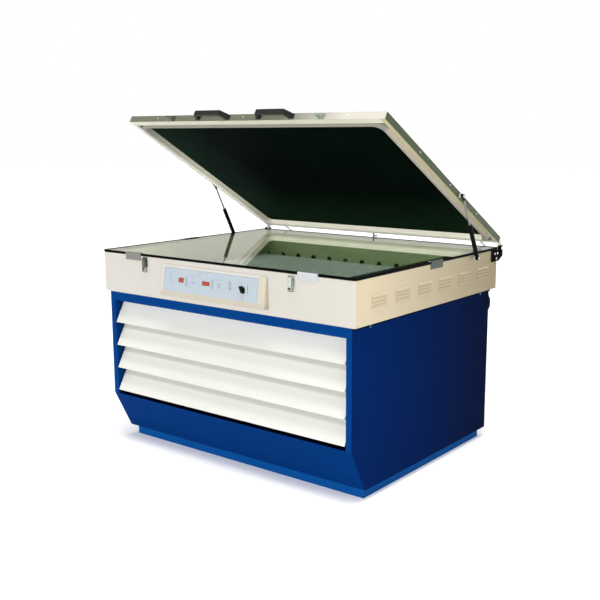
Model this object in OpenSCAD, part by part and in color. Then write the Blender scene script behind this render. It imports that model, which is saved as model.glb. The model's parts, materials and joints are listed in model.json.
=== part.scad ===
// Screen printing exposure unit: a light box with a hinged vacuum lid on a drying cabinet.
// Millimetres. X runs across the front, Y to the back, Z up.
// The origin is on the floor, under the middle of the light box.

/* [Light box housing] */
// Width of the housing
housing_w = 1400; // [1300:10:1500]
// Depth of the housing
housing_d = 1136; // [1080:4:1240]
// Height of the housing's walls
housing_h = 179; // [170:1:230]
// Radius of the housing's vertical corners
housing_corner_r = 10; // [6:1:16]
// Sheet metal thickness of housing and cabinet
sheet_t = 2; // [1.5:0.1:2.5]
// Width of the inward flange at the housing's bottom
housing_flange = 24; // [20:1:28]
// Width of the ledge under the glass
glass_ledge = 12; // [11:1:16]

/* [Louvres] */
// Groups of louvres on each side
louvre_groups = 6; // [3:1:6]
// Louvres in a group
louvre_rows = 4; // [2:1:4]
// Length of one louvre
louvre_len = 100; // [70:1:110]
// Distance from one louvre to the next
louvre_pitch = 14; // [13:0.5:15]
// Distance from one group to the next
louvre_group_pitch = 167; // [140:1:170]
// Height of the middle of a group above the housing's bottom
louvre_mid_h = 86; // [70:1:100]

/* [Glass top] */
// Thickness of the glass
glass_t = 6; // [5:0.5:8]
// Height of the rubber edge gasket
gasket_h = 9; // [9:0.5:14]
// Width of the gasket under the glass
gasket_rest = 10; // [8:1:11]
// Width of the gasket's lip over the glass
gasket_lip = 4; // [3:0.5:8]
// Length of a glass clip
clip_len = 98; // [60:1:120]
// Height of a glass clip on the housing wall
clip_h = 32; // [24:1:40]

/* [Light box] */
// Distance from the housing front to the light box tray
box_front = 36; // [32:2:60]
// Distance from the light box tray to the housing rear
box_rear = 76; // [60:1:100]
// Gap between the light box tray and the housing sides
box_side = 55; // [45:1:70]
// Radius of a UV tube
tube_r = 19; // [13:0.5:19.5]
// Distance from one tube to the next
tube_pitch = 41; // [40:0.5:60]
// Height of the tube axis above the tray floor
tube_axis_h = 37; // [32:0.5:50]
// Length of a lamp holder along the tube
holder_len = 40; // [24:1:50]
// Radius of the cooling holes in the tray's rear wall
vent_r = 15; // [10:0.5:20]
// How far the cooling holes' centres lie below the tops of the tubes
vent_drop = 2.5; // [1:0.5:8]
// Distance from one cooling hole to the next
vent_pitch = 102; // [80:1:120]

/* [Drying cabinet] */
// How far the housing stands out beyond each cabinet side
side_overhang = 22; // [12:1:23]
// How far the housing stands out beyond the cabinet front
front_overhang = 14; // [6:1:22]
// How far the housing stands out beyond the cabinet back
rear_overhang = 31; // [27:1:50]
// Height of the cabinet, from the floor to the housing
cabinet_h = 712; // [680:2:760]
// Height where the sloping toe panel begins
toe_h = 227; // [200:1:240]
// How far the toe panel runs back
toe_setback = 93; // [60:1:110]
// Height of the plinth
plinth_h = 46; // [30:1:70]
// How far the plinth stands back all round
plinth_inset = 24; // [10:1:40]
// Height of the front frame's top rail
top_rail_h = 44; // [40:1:70]
// Width of the front frame's stiles
stile_w = 28; // [24:1:36]
// Depth of the jambs behind the stiles
jamb_d = 40; // [20:1:42]

/* [Drawers] */
// Gap between a drawer front's top edge and the edge of the front above
slat_gap = 10; // [6:1:16]
// How far a drawer front's top edge stands behind its bottom edge
slat_lean = 51; // [40:1:56]
// How far the bottom edges stand out of the front frame
slat_proud = 2; // [0:0.5:6]
// Gap between a drawer front's end and the stile
slat_side_gap = 5; // [3:0.5:8]
// Gap between a drawer tray and the duct panel behind it
tray_rear_gap = 19; // [10:1:80]
// Height of a drawer tray
tray_h = 56; // [40:1:60]
// Width of the bar on each side of a tray that rides in its runner
runner_bar_w = 20; // [14:1:24]
// Height of that bar
runner_bar_h = 10; // [8:0.5:14]
// Distance that a drawer pulls out
drawer_travel = 700; // [400:10:720]

/* [Dryer] */
// Depth of the air duct behind the drawers
duct_d = 96; // [90:1:100]
// Radius of the blower wheel
blower_r = 95; // [70:1:110]
// Height of the blower's axis above the floor
blower_axis_h = 450; // [380:1:480]
// Length of a finned heater
heater_len = 430; // [300:5:450]
// Radius of a heater's fins
heater_fin_r = 14; // [10:0.5:16]

/* [Lid] */
// How far the lid's front edge stands behind the housing front
lid_setback = 26; // [24:1:28]
// Gap at each side between the lid's edge and the housing's side
lid_side_gap = 1; // [1:0.5:1.5]
// Thickness of the lid frame
lid_t = 30; // [28:1:40]
// Gap between the lid frame and the gasket when the lid is shut
lid_gap = 7.4; // [5:0.1:9]
// Opening angle of the lid as it stands
lid_open_angle = 29.8; // [20:0.1:34]
// Width of the lid frame seen from above
lid_rail_w = 50; // [44:1:60]
// Width of the flat strip outside the seal, on the sides
strip_side = 22; // [22:1:26]
// Width of the flat strip outside the seal, at the front
strip_front = 32; // [24:1:40]
// Width of the flat strip outside the seal, at the rear
strip_rear = 14; // [13:1:20]
// Width of the rubber seal
seal_w = 40; // [34:1:46]
// Corner radius of the seal's outer edge
seal_corner_r = 60; // [50:1:80]
// Height of the blanket above the lid's underside
blanket_rise = 12; // [10:0.5:14]
// Thickness of the blanket
blanket_t = 3; // [2:0.5:4]

/* [Lid handles] */
// Length of a handle
handle_len = 200; // [160:2:220]
// How far a handle stands out
handle_out = 45; // [36:1:50]
// Thickness of the handle's grip
handle_t = 13; // [10:0.5:16]
// Height of the handle along the lid's edge
handle_h = 22; // [16:1:24]

/* [Hinges] */
// Distance of the hinge axis behind the housing
hinge_back = 26; // [22:1:32]
// Distance of the hinge axis below the gasket's top
hinge_drop = 6; // [0:1:10]
// Radius of the hinge pin
hinge_pin_r = 5; // [4:0.25:6]
// Thickness of the hinge plate
hinge_plate_t = 5; // [4:0.5:6]

/* [Gas springs] */
// Distance of the upper stud from the lid's rear edge
spring_top_s = 455; // [440:1:480]
// Distance of the lower stud from the housing's rear
spring_low_back = 231; // [215:1:240]
// Distance of the lower stud below the housing's top
spring_low_drop = 15; // [13:1:20]
// Distance of the spring's axis from the housing side
spring_out = 17; // [16:0.5:20]
// Radius of the cylinder
spring_r = 9.5; // [9:0.5:12]
// Radius of the rod
rod_r = 4; // [3.5:0.25:5]

/* [Latches] */
// Position of the left latch
latch_left_x = -421; // [-440:1:-400]
// Position of the right latch
latch_right_x = 402; // [390:1:415]
// Width of a latch's base
latch_w = 26; // [24:1:28]
// Length of a latch's lever
latch_lever_len = 49; // [42:1:49]

/* [Console] */
// Width of the console
console_w = 586; // [560:2:620]
// Height of the console along its face
console_face_h = 132; // [124:1:140]
// Position of the console's middle
console_x = -13; // [-20:1:0]
// Distance of the console's top below the housing's top
console_drop = 25; // [22:1:30]
// How far the console's top edge stands out
console_top_out = 4; // [4:0.5:8]
// How far the console's bottom edge stands out
console_bottom_out = 24; // [20:0.5:30]
// Width of the overlay
overlay_w = 534; // [520:1:536]
// Height of the overlay
overlay_h = 100; // [96:1:104]
// Radius of the selector knob
knob_r = 14; // [11:0.5:16]

/* [Hidden] */
$fn = 48;

// Colours as seen in good light
cream = [0.90, 0.87, 0.79];
blue = [0.05, 0.22, 0.55];
white = [0.92, 0.92, 0.90];
black = [0.07, 0.07, 0.07];
zinc = [0.72, 0.73, 0.74];
steel = [0.60, 0.61, 0.62];

// Radial clearance of a shaft that turns or slides in its hole
run_clear = 0.05;
// Gap between faces that move past each other
face_gap = 0.3;

// Heights
housing_top = cabinet_h + housing_h;
gasket_top = housing_top + gasket_h;
glass_z = housing_top + (gasket_h - glass_t) / 2;
glass_top = glass_z + glass_t;
floor_plate_z = cabinet_h + sheet_t;
tray_floor_z = floor_plate_z + sheet_t;

// Cabinet, with distances behind the housing's front face
cab_x = housing_w / 2 - side_overhang;
cab_front = front_overhang;
cab_back = housing_d - rear_overhang;
open_x = cab_x - stile_w;
open_bottom = toe_h;
open_top = cabinet_h - top_rail_h;
duct_y = cab_back - sheet_t - duct_d;
toe_low_y = cab_front + toe_setback;
plinth_front = toe_low_y + plinth_inset;
plinth_back = cab_back - plinth_inset;
plinth_x = cab_x - plinth_inset;

// Drawers
drawer_count = 4;
slat_bottom_gap = 18;
slat_top_gap = 5;
drawer_pitch = (open_top - open_bottom - slat_bottom_gap - slat_top_gap + slat_gap) / drawer_count;
slat_h = drawer_pitch - slat_gap;
slat_x = open_x - slat_side_gap;
slat_y = cab_front - slat_proud;
slat_plate_y = slat_y + slat_lean + 16;
tray_y = slat_plate_y;
tray_d = duct_y - tray_y - tray_rear_gap;
bar_x = open_x - 2;
tray_x = bar_x - runner_bar_w;
bar_rise = 30;
function slat_z(k) = open_bottom + slat_bottom_gap + (drawer_count - k) * drawer_pitch;

// Light box tray
box_x = housing_w / 2 - box_side;
box_y0 = box_front;
box_y1 = housing_d - box_rear;
box_t = 1.5;
tube_z = tray_floor_z + box_t + tube_axis_h;
tube_end_x = box_x - box_t - holder_len - 3;
tube_margin = tube_r + 2;
tube_count = floor((box_y1 - box_y0 - 2 * box_t - 2 * tube_margin) / tube_pitch) + 1;
ballast_count = ceil(tube_count / 4);
vent_count = 2 * floor((box_x - 30) / vent_pitch) + 1;

// Lid
lid_z = gasket_top + lid_gap;
lid_len = housing_d - lid_setback;
lid_x = housing_w / 2 - lid_side_gap;
hinge_y = housing_d + hinge_back;
hinge_z = gasket_top - hinge_drop;
seal_inner_r = seal_corner_r - 36;
seal_drop = lid_z - glass_top - face_gap;
handle_left_x = -178;
handle_right_x = 167;

// A point of the open lid: s in front of its rear edge, h above its underside
function lid_point_y(s, h) = hinge_y + (housing_d - s - hinge_y) * cos(lid_open_angle)
                             + (lid_z + h - hinge_z) * sin(lid_open_angle);
function lid_point_z(s, h) = hinge_z - (housing_d - s - hinge_y) * sin(lid_open_angle)
                             + (lid_z + h - hinge_z) * cos(lid_open_angle);

// Gas springs
spring_x = housing_w / 2 + spring_out;
spring_top_h = lid_t / 2 - 1;
spring_low_y = housing_d - spring_low_back;
spring_low_z = housing_top - spring_low_drop;
spring_dy = spring_low_y - lid_point_y(spring_top_s, spring_top_h);
spring_dz = lid_point_z(spring_top_s, spring_top_h) - spring_low_z;
spring_open_len = norm([spring_dy, spring_dz]);
spring_shut_len = norm([spring_low_y - (housing_d - spring_top_s), lid_z + spring_top_h - spring_low_z]);
spring_stroke = spring_open_len - spring_shut_len;
spring_tilt = atan2(spring_dy, spring_dz);
cylinder_len = spring_shut_len - 60;
eye_r = 9;
eye_w = 12;
stud_r = 4;
guide_len = 12;
piston_len = 12;

// Latches
latch_xs = [latch_left_x, latch_right_x];
latch_pivot_y = -8;
latch_pivot_z = housing_top - 14;
latch_hook_z = latch_pivot_z - 9;
latch_pin_r = 2;
lever_half = latch_w / 2 - 5;
cheek_x = lever_half + face_gap;
cheek_t = 2;
pin_end = cheek_x + cheek_t + 0.1;
hook_wire_r = 1.25;
hook_leg_x = pin_end + face_gap + hook_wire_r;
// A hook that lies over its strike leans back from upright by this angle
hook_lean = 6;
strike_z = [2, 4.5];
hook_len = (lid_z + strike_z[1] + face_gap + hook_wire_r - latch_hook_z) / cos(hook_lean);
hook_shut_y = latch_pivot_y + hook_len * sin(hook_lean);

// Clips
clip_front_xs = [-497, 481];
clip_right_y = 583;
clip_left_y = 560;

// Console: x across, y up the face from its top edge, z out of the face
console_top_z = housing_top - console_drop;
console_lean = asin((console_bottom_out - console_top_out) / console_face_h);
overlay_x = console_x - 13;
overlay_t = 1;
face_t = 3;
overlay_top = -9;
board_t = 1.6;
board_z = -9;
board_x = [overlay_x - overlay_w / 2 + 30, overlay_x + overlay_w / 2 - 51];
board_y = [overlay_top - overlay_h + 6, overlay_top - 11];
display_1 = [overlay_x - 162, overlay_top - 49, 31, 21];
display_2 = [overlay_x - 18, overlay_top - 50, 44, 18];
button_x = overlay_x + 117;
button_ys = [overlay_top - 39, overlay_top - 55];
button_w = 12;
button_h = 9;
button_travel = 1.5;
knob_x = overlay_x + 189;
knob_y = overlay_top - 54;
knob_shaft_r = 3;

// Fans
fan_w = 119;
fan_t = 38;
fan_x = 350;
fan_y1 = housing_d - sheet_t;
fan_z = tray_floor_z + 84;
fan_bore_r = 57;
fan_pin_r = 3;

// Route of the link cable: how far behind the housing's rear face, and how far above its underside
cable_r = 4.5;
cable_x = cab_x - 14;
cable_route = [[0, -14, -18], [0, -14, -24], [0, -13.5, -30], [0, -11, -38], [0, -8.5, -42.5], [0, -4, -48],
               [0, 1, -54.5], [0, 3.5, -59.5], [0, 5.5, -66.5], [0, 6, -72.5], [0, 5.5, -78.5], [0, 4, -86],
               [0, 2, -91.5], [0, -1, -97], [0, -6, -102], [0, -11, -104.5], [0, -15.5, -105.5],
               [0, -19, -105.5]];
cable_first = cable_route[0];
cable_last = cable_route[len(cable_route) - 1];
gland_r = 11;

// A box from one corner to the other
module slab(x, y, z) {
    translate([x[0], y[0], z[0]]) cube([x[1] - x[0], y[1] - y[0], z[1] - z[0]]);
}

// Both sides: the piece drawn at positive x and its mirror image
module both_sides() {
    children();
    mirror([1, 0, 0]) children();
}

// A profile drawn in Y and Z, extruded along X
module across(x0, x1) {
    translate([x0, 0, 0]) rotate([90, 0, 90]) linear_extrude(x1 - x0) children();
}

// A rectangle with round corners, centred on x, from y0 to y1
module round_plan(w, y0, y1, r) {
    translate([-w / 2, y0 + r]) square([w, y1 - y0 - 2 * r]);
    translate([-w / 2 + r, y0]) square([w - 2 * r, y1 - y0]);
    for (x = [-w / 2 + r, w / 2 - r], y = [y0 + r, y1 - r]) translate([x, y]) circle(r);
}

// Moves what is measured from the housing's front face into the part's frame
module placed() {
    translate([0, -housing_d / 2, 0]) children();
}

// The lid's own frame: y from its rear edge, z from its underside, swung open about the hinge
module on_lid() {
    placed()
        translate([0, hinge_y, hinge_z])
        rotate([-lid_open_angle, 0, 0])
        translate([0, housing_d - hinge_y, lid_z - hinge_z])
        children();
}

// The console's own frame
module on_console() {
    placed()
        translate([0, -console_top_out, console_top_z])
        rotate([90 - console_lean, 0, 0])
        children();
}

// The gas spring's own frame: z from the lower stud towards the upper one
module on_spring(side) {
    placed()
        translate([side * spring_x, spring_low_y, spring_low_z])
        rotate([spring_tilt, 0, 0])
        children();
}

// A cylinder along x, between two places
module rod_x(x0, x1, r) {
    translate([x0, 0, 0]) rotate([0, 90, 0]) cylinder(h = x1 - x0, r = r);
}

// A cylinder along y, between two places
module rod_y(y0, y1, r) {
    translate([0, y0, 0]) rotate([-90, 0, 0]) cylinder(h = y1 - y0, r = r);
}

// Base plate on a recessed plinth with a middle rail
module cabinet_base() placed() color(blue) {
    skirt_t = 3;
    foot_w = 16;
    rail_x = 20;
    slab([-cab_x + sheet_t, cab_x - sheet_t], [toe_low_y, cab_back - sheet_t],
         [plinth_h, plinth_h + sheet_t]);
    both_sides() {
        slab([plinth_x - skirt_t, plinth_x], [plinth_front, plinth_back], [0, plinth_h]);
        slab([plinth_x - foot_w, plinth_x], [plinth_front, plinth_back], [0, skirt_t]);
    }
    for (y = [plinth_front, plinth_back - skirt_t])
        slab([-plinth_x, plinth_x], [y, y + skirt_t], [0, plinth_h]);
    slab([-plinth_x, plinth_x], [plinth_front, plinth_front + foot_w], [0, skirt_t]);
    slab([-plinth_x, plinth_x], [plinth_back - foot_w, plinth_back], [0, skirt_t]);
    slab([-rail_x, rail_x], [plinth_front, plinth_back], [0, plinth_h]);
}

// Side sheet with the sloping toe, and holes for the joining bolts
module cabinet_side() {
    difference() {
        across(cab_x - sheet_t, cab_x)
            polygon([[cab_front, toe_h], [cab_front, cabinet_h], [cab_back, cabinet_h],
                     [cab_back, plinth_h], [toe_low_y, plinth_h]]);
        joining_places() rod_x(-30, 30, bolt_r + run_clear);
    }
}
module cabinet_side_left() placed() color(blue) mirror([1, 0, 0]) cabinet_side();
module cabinet_side_right() placed() color(blue) cabinet_side();

// Rear sheet with the air inlet around the blower motor
module cabinet_back() placed() color(blue) {
    inlet_r = 6;
    difference() {
        slab([-cab_x + sheet_t, cab_x - sheet_t], [cab_back - sheet_t, cab_back],
             [plinth_h + sheet_t, cabinet_h]);
        for (ring = [[62, 12], [82, 18]], i = [0 : ring[1] - 1])
            translate([ring[0] * cos(i * 360 / ring[1]), 0, blower_axis_h + ring[0] * sin(i * 360 / ring[1])])
                rod_y(cab_back - 10, cab_back + 10, inlet_r);
        cable_end_place() rod_y(-20, 20, cable_r + 1);
    }
}

// Top rail, stiles and jambs in one folded frame
module front_frame() placed() color(blue) {
    slab([-cab_x + sheet_t, cab_x - sheet_t], [cab_front, cab_front + sheet_t], [open_top, cabinet_h]);
    slab([-open_x, open_x], [cab_front, cab_front + jamb_d], [open_top, open_top + sheet_t]);
    both_sides() {
        slab([open_x, cab_x - sheet_t], [cab_front, cab_front + sheet_t], [toe_h, cabinet_h]);
        slab([open_x, open_x + sheet_t], [cab_front, cab_front + jamb_d], [open_bottom, open_top + sheet_t]);
    }
}

// Sloping toe panel under the lowest drawer
module toe_panel() placed() color(blue) {
    slope = toe_setback / (toe_h - plinth_h);
    across(-cab_x + sheet_t, cab_x - sheet_t)
        polygon([[cab_front, toe_h], [toe_low_y, plinth_h], [toe_low_y, plinth_h + 3 * sheet_t],
                 [cab_front + slope * 2 * sheet_t + sheet_t, toe_h]]);
}

// Drawer front: a leaning folded panel whose bottom edge is the finger pull
module drawer_front(k) placed() color(white) {
    t = sheet_t;
    thick = t * norm([slat_h, slat_lean]) / slat_h;
    lean = slat_lean / slat_h;
    pull_d = 14;
    end_t = 2;
    translate([0, slat_y, slat_z(k)]) {
        across(-slat_x, slat_x)
            polygon([[0, 0], [slat_lean, slat_h], [slat_lean + 16, slat_h], [slat_lean + 16, 4],
                     [slat_lean + 14, 4], [slat_lean + 14, slat_h - t],
                     [(slat_h - t) * lean + thick, slat_h - t], [t * lean + thick, t],
                     [pull_d, t], [pull_d, 0]]);
        both_sides() across(slat_x - end_t, slat_x)
            polygon([[0.5, 0.5], [slat_lean, slat_h - 0.5], [slat_lean + 15, slat_h - 0.5],
                     [slat_lean + 15, 5]]);
    }
}
module drawer_front_1() drawer_front(1);
module drawer_front_2() drawer_front(2);
module drawer_front_3() drawer_front(3);
module drawer_front_4() drawer_front(4);

// Drawer tray: folded sheet with a slotted bottom and a bar on each side
module drawer_tray(k) placed() color(steel) {
    wall = 2;
    slot_rows = 6;
    slot_cols = 8;
    edge = 60;
    cell_x = (2 * tray_x - edge) / slot_cols;
    cell_y = (tray_d - edge) / slot_rows;
    slot_gap = 34;
    z0 = slat_z(k) + 4;
    translate([0, tray_y, z0]) {
        difference() {
            slab([-tray_x, tray_x], [0, tray_d], [0, tray_h]);
            slab([-tray_x + wall, tray_x - wall], [wall, tray_d - wall], [wall, tray_h + 1]);
            for (i = [0 : slot_cols - 1], j = [0 : slot_rows - 1])
                translate([-tray_x + edge / 2 + i * cell_x, edge / 2 + j * cell_y, 0])
                    slab([slot_gap / 2, cell_x - slot_gap / 2], [slot_gap / 2, cell_y - slot_gap / 2],
                         [-1, wall + 1]);
        }
        both_sides() slab([tray_x, bar_x], [wall, tray_d],
                          [bar_rise - runner_bar_h / 2, bar_rise + runner_bar_h / 2]);
    }
}
module drawer_tray_1() drawer_tray(1);
module drawer_tray_2() drawer_tray(2);
module drawer_tray_3() drawer_tray(3);
module drawer_tray_4() drawer_tray(4);

// Runner channels on the cabinet sides, two for each drawer
module drawer_runners() placed() color(zinc) {
    play = 0.4;
    for (k = [1 : drawer_count])
        both_sides()
            translate([0, 0, slat_z(k) + 4 + bar_rise])
            difference() {
                slab([tray_x + 4, cab_x - sheet_t], [slat_plate_y + 2, duct_y],
                     [-runner_bar_h / 2 - play - sheet_t, runner_bar_h / 2 + play + sheet_t]);
                slab([tray_x, cab_x - 2 * sheet_t], [0, duct_y - sheet_t],
                     [-runner_bar_h / 2 - play, runner_bar_h / 2 + play]);
            }
}

// Slotted sheet between the drawers and the air duct
module duct_panel() placed() color(blue) {
    slot_cols = 10;
    cell = 2 * (cab_x - 60) / slot_cols;
    difference() {
        slab([-cab_x + 8, cab_x - 8], [duct_y, duct_y + sheet_t], [plinth_h + sheet_t, cabinet_h - 32]);
        for (k = [1 : drawer_count], i = [0 : slot_cols - 1])
            translate([-cab_x + 60 + i * cell, 0, slat_z(k) + 4])
                slab([14, cell - 14], [duct_y - 1, duct_y + sheet_t + 1], [8, 22]);
    }
}

// Finned heater rods between two brackets, one unit each side of the blower
module heaters() placed() color(steel) {
    core_r = 5;
    fin_t = 1.5;
    fin_pitch = 14;
    start_x = blower_r + 35;
    mid_y = duct_y + duct_d / 2;
    bracket_t = 3;
    fins = floor((heater_len - 30) / fin_pitch);
    both_sides() {
        for (x = [start_x, start_x + heater_len - bracket_t])
            slab([x, x + bracket_t], [mid_y - 20, cab_back - sheet_t],
                 [blower_axis_h - 75, blower_axis_h + 75]);
        for (z = [blower_axis_h - 45, blower_axis_h + 45])
            translate([0, mid_y, z]) {
                rod_x(start_x, start_x + heater_len, core_r);
                for (i = [0 : fins])
                    rod_x(start_x + 15 + i * fin_pitch, start_x + 15 + i * fin_pitch + fin_t, heater_fin_r);
            }
    }
}

// Blower motor on the cabinet's rear sheet
module blower_motor() placed() color(black)
    translate([0, 0, blower_axis_h]) {
        rod_y(cab_back - 42, cab_back - sheet_t, 45);
        rod_y(cab_back - sheet_t - duct_d + 14, cab_back - 42, 6);
    }

// Blower wheel: rear disc, front ring and straight blades
module blower_wheel() placed() color(zinc) {
    y1 = cab_back - 46;
    y0 = duct_y + 12;
    blades = 20;
    blade_t = 1.5;
    blade_d = 22;
    translate([0, 0, blower_axis_h]) difference() {
        union() {
            rod_y(y1 - 3, y1, blower_r);
            rod_y(y0 + 6, y1, 14);
            difference() {
                rod_y(y0, y0 + 3, blower_r);
                rod_y(y0 - 1, y0 + 4, blower_r - blade_d);
            }
            for (i = [0 : blades - 1])
                rotate([0, i * 360 / blades, 0])
                    slab([blower_r - blade_d, blower_r - 1], [y0 + 1, y1 - 1], [-blade_t / 2, blade_t / 2]);
        }
        rod_y(y0 - 5, y1 + 5, 6 + run_clear);
    }
}

// Places of the joining bolts on the right cabinet side
bolt_r = 4;
bolt_z = cabinet_h - 12;
module joining_places() {
    for (y = [cab_front + 112, cab_back - 92]) translate([cab_x, y, bolt_z]) children();
}

// One pressed louvre, outward along x: the hood and the space under it
module louvre_hood() {
    translate([0, louvre_len / 2, 0]) rotate([90, 0, 0]) linear_extrude(louvre_len)
        polygon([[-0.5, 5.4], [0, 5.4], [5, -3.6], [-0.5, -3.6]]);
}
module louvre_space() {
    translate([0, louvre_len / 2 - 1.2, 0]) rotate([90, 0, 0]) linear_extrude(louvre_len - 2.4)
        polygon([[-sheet_t - 1, 3.2], [0.4, 3.2], [3.9, -3.1], [3.9, -4.5], [-sheet_t - 1, -4.5]]);
}
module louvre_places() {
    first = housing_d / 2 - (louvre_groups - 1) * louvre_group_pitch / 2;
    for (g = [0 : louvre_groups - 1], r = [0 : louvre_rows - 1])
        translate([housing_w / 2, first + g * louvre_group_pitch + 6,
                   cabinet_h + louvre_mid_h + (r - (louvre_rows - 1) / 2) * louvre_pitch])
            children();
}

// Housing: four walls with round corners, flanges, louvres, fan grilles and the console's cut-out
module housing_shell() placed() color(cream) {
    hole_r = 6;
    difference() {
        union() {
            translate([0, 0, cabinet_h]) linear_extrude(housing_h)
                round_plan(housing_w, 0, housing_d, housing_corner_r);
            both_sides() louvre_places() louvre_hood();
        }
        translate([0, 0, cabinet_h + sheet_t]) linear_extrude(housing_h - 2 * sheet_t)
            round_plan(housing_w - 2 * sheet_t, sheet_t, housing_d - sheet_t, housing_corner_r - sheet_t);
        slab([-housing_w / 2 + housing_flange, housing_w / 2 - housing_flange],
             [housing_flange, housing_d - housing_flange], [cabinet_h - 1, cabinet_h + sheet_t + 1]);
        slab([-housing_w / 2 + glass_ledge, housing_w / 2 - glass_ledge],
             [glass_ledge, housing_d - glass_ledge], [housing_top - sheet_t - 1, housing_top + 1]);
        both_sides() louvre_places() louvre_space();
        slab([console_x - console_w / 2 + 39, console_x + console_w / 2 - 53], [-1, sheet_t + 1],
             [console_top_z - overlay_h - 12, console_top_z - 18]);
        for (sx = [-1, 1], ring = [[0, 1], [18, 6], [36, 12]], i = [0 : ring[1] - 1])
            translate([sx * fan_x + ring[0] * cos(i * 360 / ring[1]), 0,
                       fan_z + ring[0] * sin(i * 360 / ring[1])])
                rod_y(housing_d - 10, housing_d + 10, hole_r);
        both_sides() hinge_screw_places() rod_x(-20, 20, screw_r + run_clear);
        cable_start_place() cylinder(h = 20, r = cable_r + 1, center = true);
    }
}

// Floor pan of the housing, with flanges that drop into the cabinet
module housing_floor() placed() color(cream) {
    edge = sheet_t + 1;
    flange_h = 28;
    difference() {
        union() {
            slab([-housing_w / 2 + edge, housing_w / 2 - edge], [edge, housing_d - edge],
                 [floor_plate_z, tray_floor_z]);
            both_sides() slab([cab_x - 2 * sheet_t - 0.2, cab_x - sheet_t - 0.2],
                              [cab_front + 60, cab_back - 60], [floor_plate_z - flange_h, tray_floor_z]);
        }
        for (x = [-housing_w / 2, housing_w / 2], y = [0, housing_d])
            translate([x, y, tray_floor_z]) cube([24, 24, 20], center = true);
        both_sides() joining_places() rod_x(-30, 30, bolt_r + run_clear);
        cable_start_place() cylinder(h = 20, r = cable_r + 1, center = true);
    }
}

// Bolts that join the cabinet to the housing's floor pan
module joining_bolts() placed() color(zinc)
    both_sides() joining_places() {
        rod_x(0, 5, 7.5, $fn = 6);
        rod_x(-14, 0, bolt_r);
    }

// Light box tray: a flange under the housing's ledge, and a row of cooling holes in the rear wall
module light_box() placed() color([0.80, 0.83, 0.80]) {
    edge = sheet_t + 5;
    rim_z = housing_top - sheet_t;
    difference() {
        union() {
            slab([-box_x, box_x], [box_y0, box_y1], [tray_floor_z, rim_z]);
            slab([-housing_w / 2 + edge, housing_w / 2 - edge], [edge, housing_d - edge],
                 [rim_z - box_t, rim_z]);
        }
        slab([-box_x + box_t, box_x - box_t], [box_y0 + box_t, box_y1 - box_t],
             [tray_floor_z + box_t, housing_top]);
        for (i = [0 : vent_count - 1])
            translate([(i - (vent_count - 1) / 2) * vent_pitch, 0, tube_z + tube_r - vent_drop])
                rod_y(box_y1 - 10, box_y1 + 10, vent_r);
    }
}

// Places of the tubes, front to back
module tube_places() {
    first = box_y0 + box_t + (box_y1 - box_y0 - 2 * box_t - (tube_count - 1) * tube_pitch) / 2;
    for (i = [0 : tube_count - 1]) translate([0, first + i * tube_pitch, 0]) children();
}

// UV tubes with their metal end caps
module uv_tubes() placed() color([0.85, 0.88, 0.95]) {
    cap_len = 15;
    translate([0, 0, tube_z]) tube_places() {
        rod_x(-tube_end_x + cap_len, tube_end_x - cap_len, tube_r);
        rod_x(-tube_end_x, tube_end_x, tube_r - 0.6);
    }
}

// Lamp holders at both ends of every tube
module lamp_holders() placed() color(black)
    tube_places() both_sides()
        slab([tube_end_x, tube_end_x + holder_len], [-14, 14],
             [tray_floor_z + box_t, tube_z + tube_r + 6]);

// Ballasts on the housing's floor, between the light box and the louvres, one for two tubes
module ballasts() placed() color(white) {
    pitch = (housing_d - 120) / ballast_count;
    half_w = (box_side - sheet_t) / 2 - 7;
    half_l = pitch / 2 - 9;
    both_sides()
        for (i = [0 : ballast_count - 1])
            translate([housing_w / 2 - (box_side + sheet_t) / 2, 60 + (i + 0.5) * pitch, tray_floor_z])
                slab([-half_w, half_w], [-half_l, half_l], [0, 30]);
}

// Vacuum pump behind the light box, between the fans: base, motor and two pump heads
module vacuum_pump() placed() color(black) {
    mid_y = housing_d - (box_rear + sheet_t) / 2;
    head_r = box_rear / 2 - 10;
    slab([-82, 82], [mid_y - head_r - 2, mid_y + head_r + 2], [tray_floor_z, tray_floor_z + 6]);
    translate([0, mid_y, tray_floor_z + 42]) rod_x(-48, 48, head_r - 1);
    for (x = [-80, 46])
        slab([x, x + 34], [mid_y - head_r, mid_y + head_r], [tray_floor_z + 4, tray_floor_z + 84]);
}

// Fan frames on the housing's rear wall: square frame, struts and the rotor's pin
module fan_frame(sx) placed() {
    y0 = fan_y1 - fan_t;
    translate([sx * fan_x, 0, fan_z]) {
        difference() {
            slab([-fan_w / 2, fan_w / 2], [y0, fan_y1], [-fan_w / 2, fan_w / 2]);
            rod_y(y0 - 1, fan_y1 + 1, fan_bore_r);
        }
        for (a = [45, 135])
            rotate([0, a, 0]) slab([-fan_bore_r - 1, fan_bore_r + 1], [fan_y1 - 4, fan_y1], [-3, 3]);
        rod_y(fan_y1 - 5, fan_y1, 22);
        rod_y(y0 + 5, fan_y1 - 4, fan_pin_r);
    }
}
module fan_frames() color(black) {
    fan_frame(-1);
    fan_frame(1);
}

// Fan rotor: hub and seven pitched blades
module fan_rotor(sx) placed() color(black) {
    y0 = fan_y1 - fan_t + 3;
    y1 = fan_y1 - 8;
    hub_r = 23;
    blade_r = fan_bore_r - 2;
    translate([sx * fan_x, 0, fan_z]) difference() {
        union() {
            rod_y(y0, y1, hub_r);
            for (i = [0 : 6])
                rotate([0, i * 360 / 7, 0]) translate([0, (y0 + y1) / 2, 0]) rotate([35, 0, 0])
                    slab([hub_r - 2, blade_r - 3], [-12, 12], [-0.8, 0.8]);
        }
        rod_y(y0 - 1, y1 + 1, fan_pin_r + run_clear);
    }
}
module fan_rotor_left() fan_rotor(-1);
module fan_rotor_right() fan_rotor(1);

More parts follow.
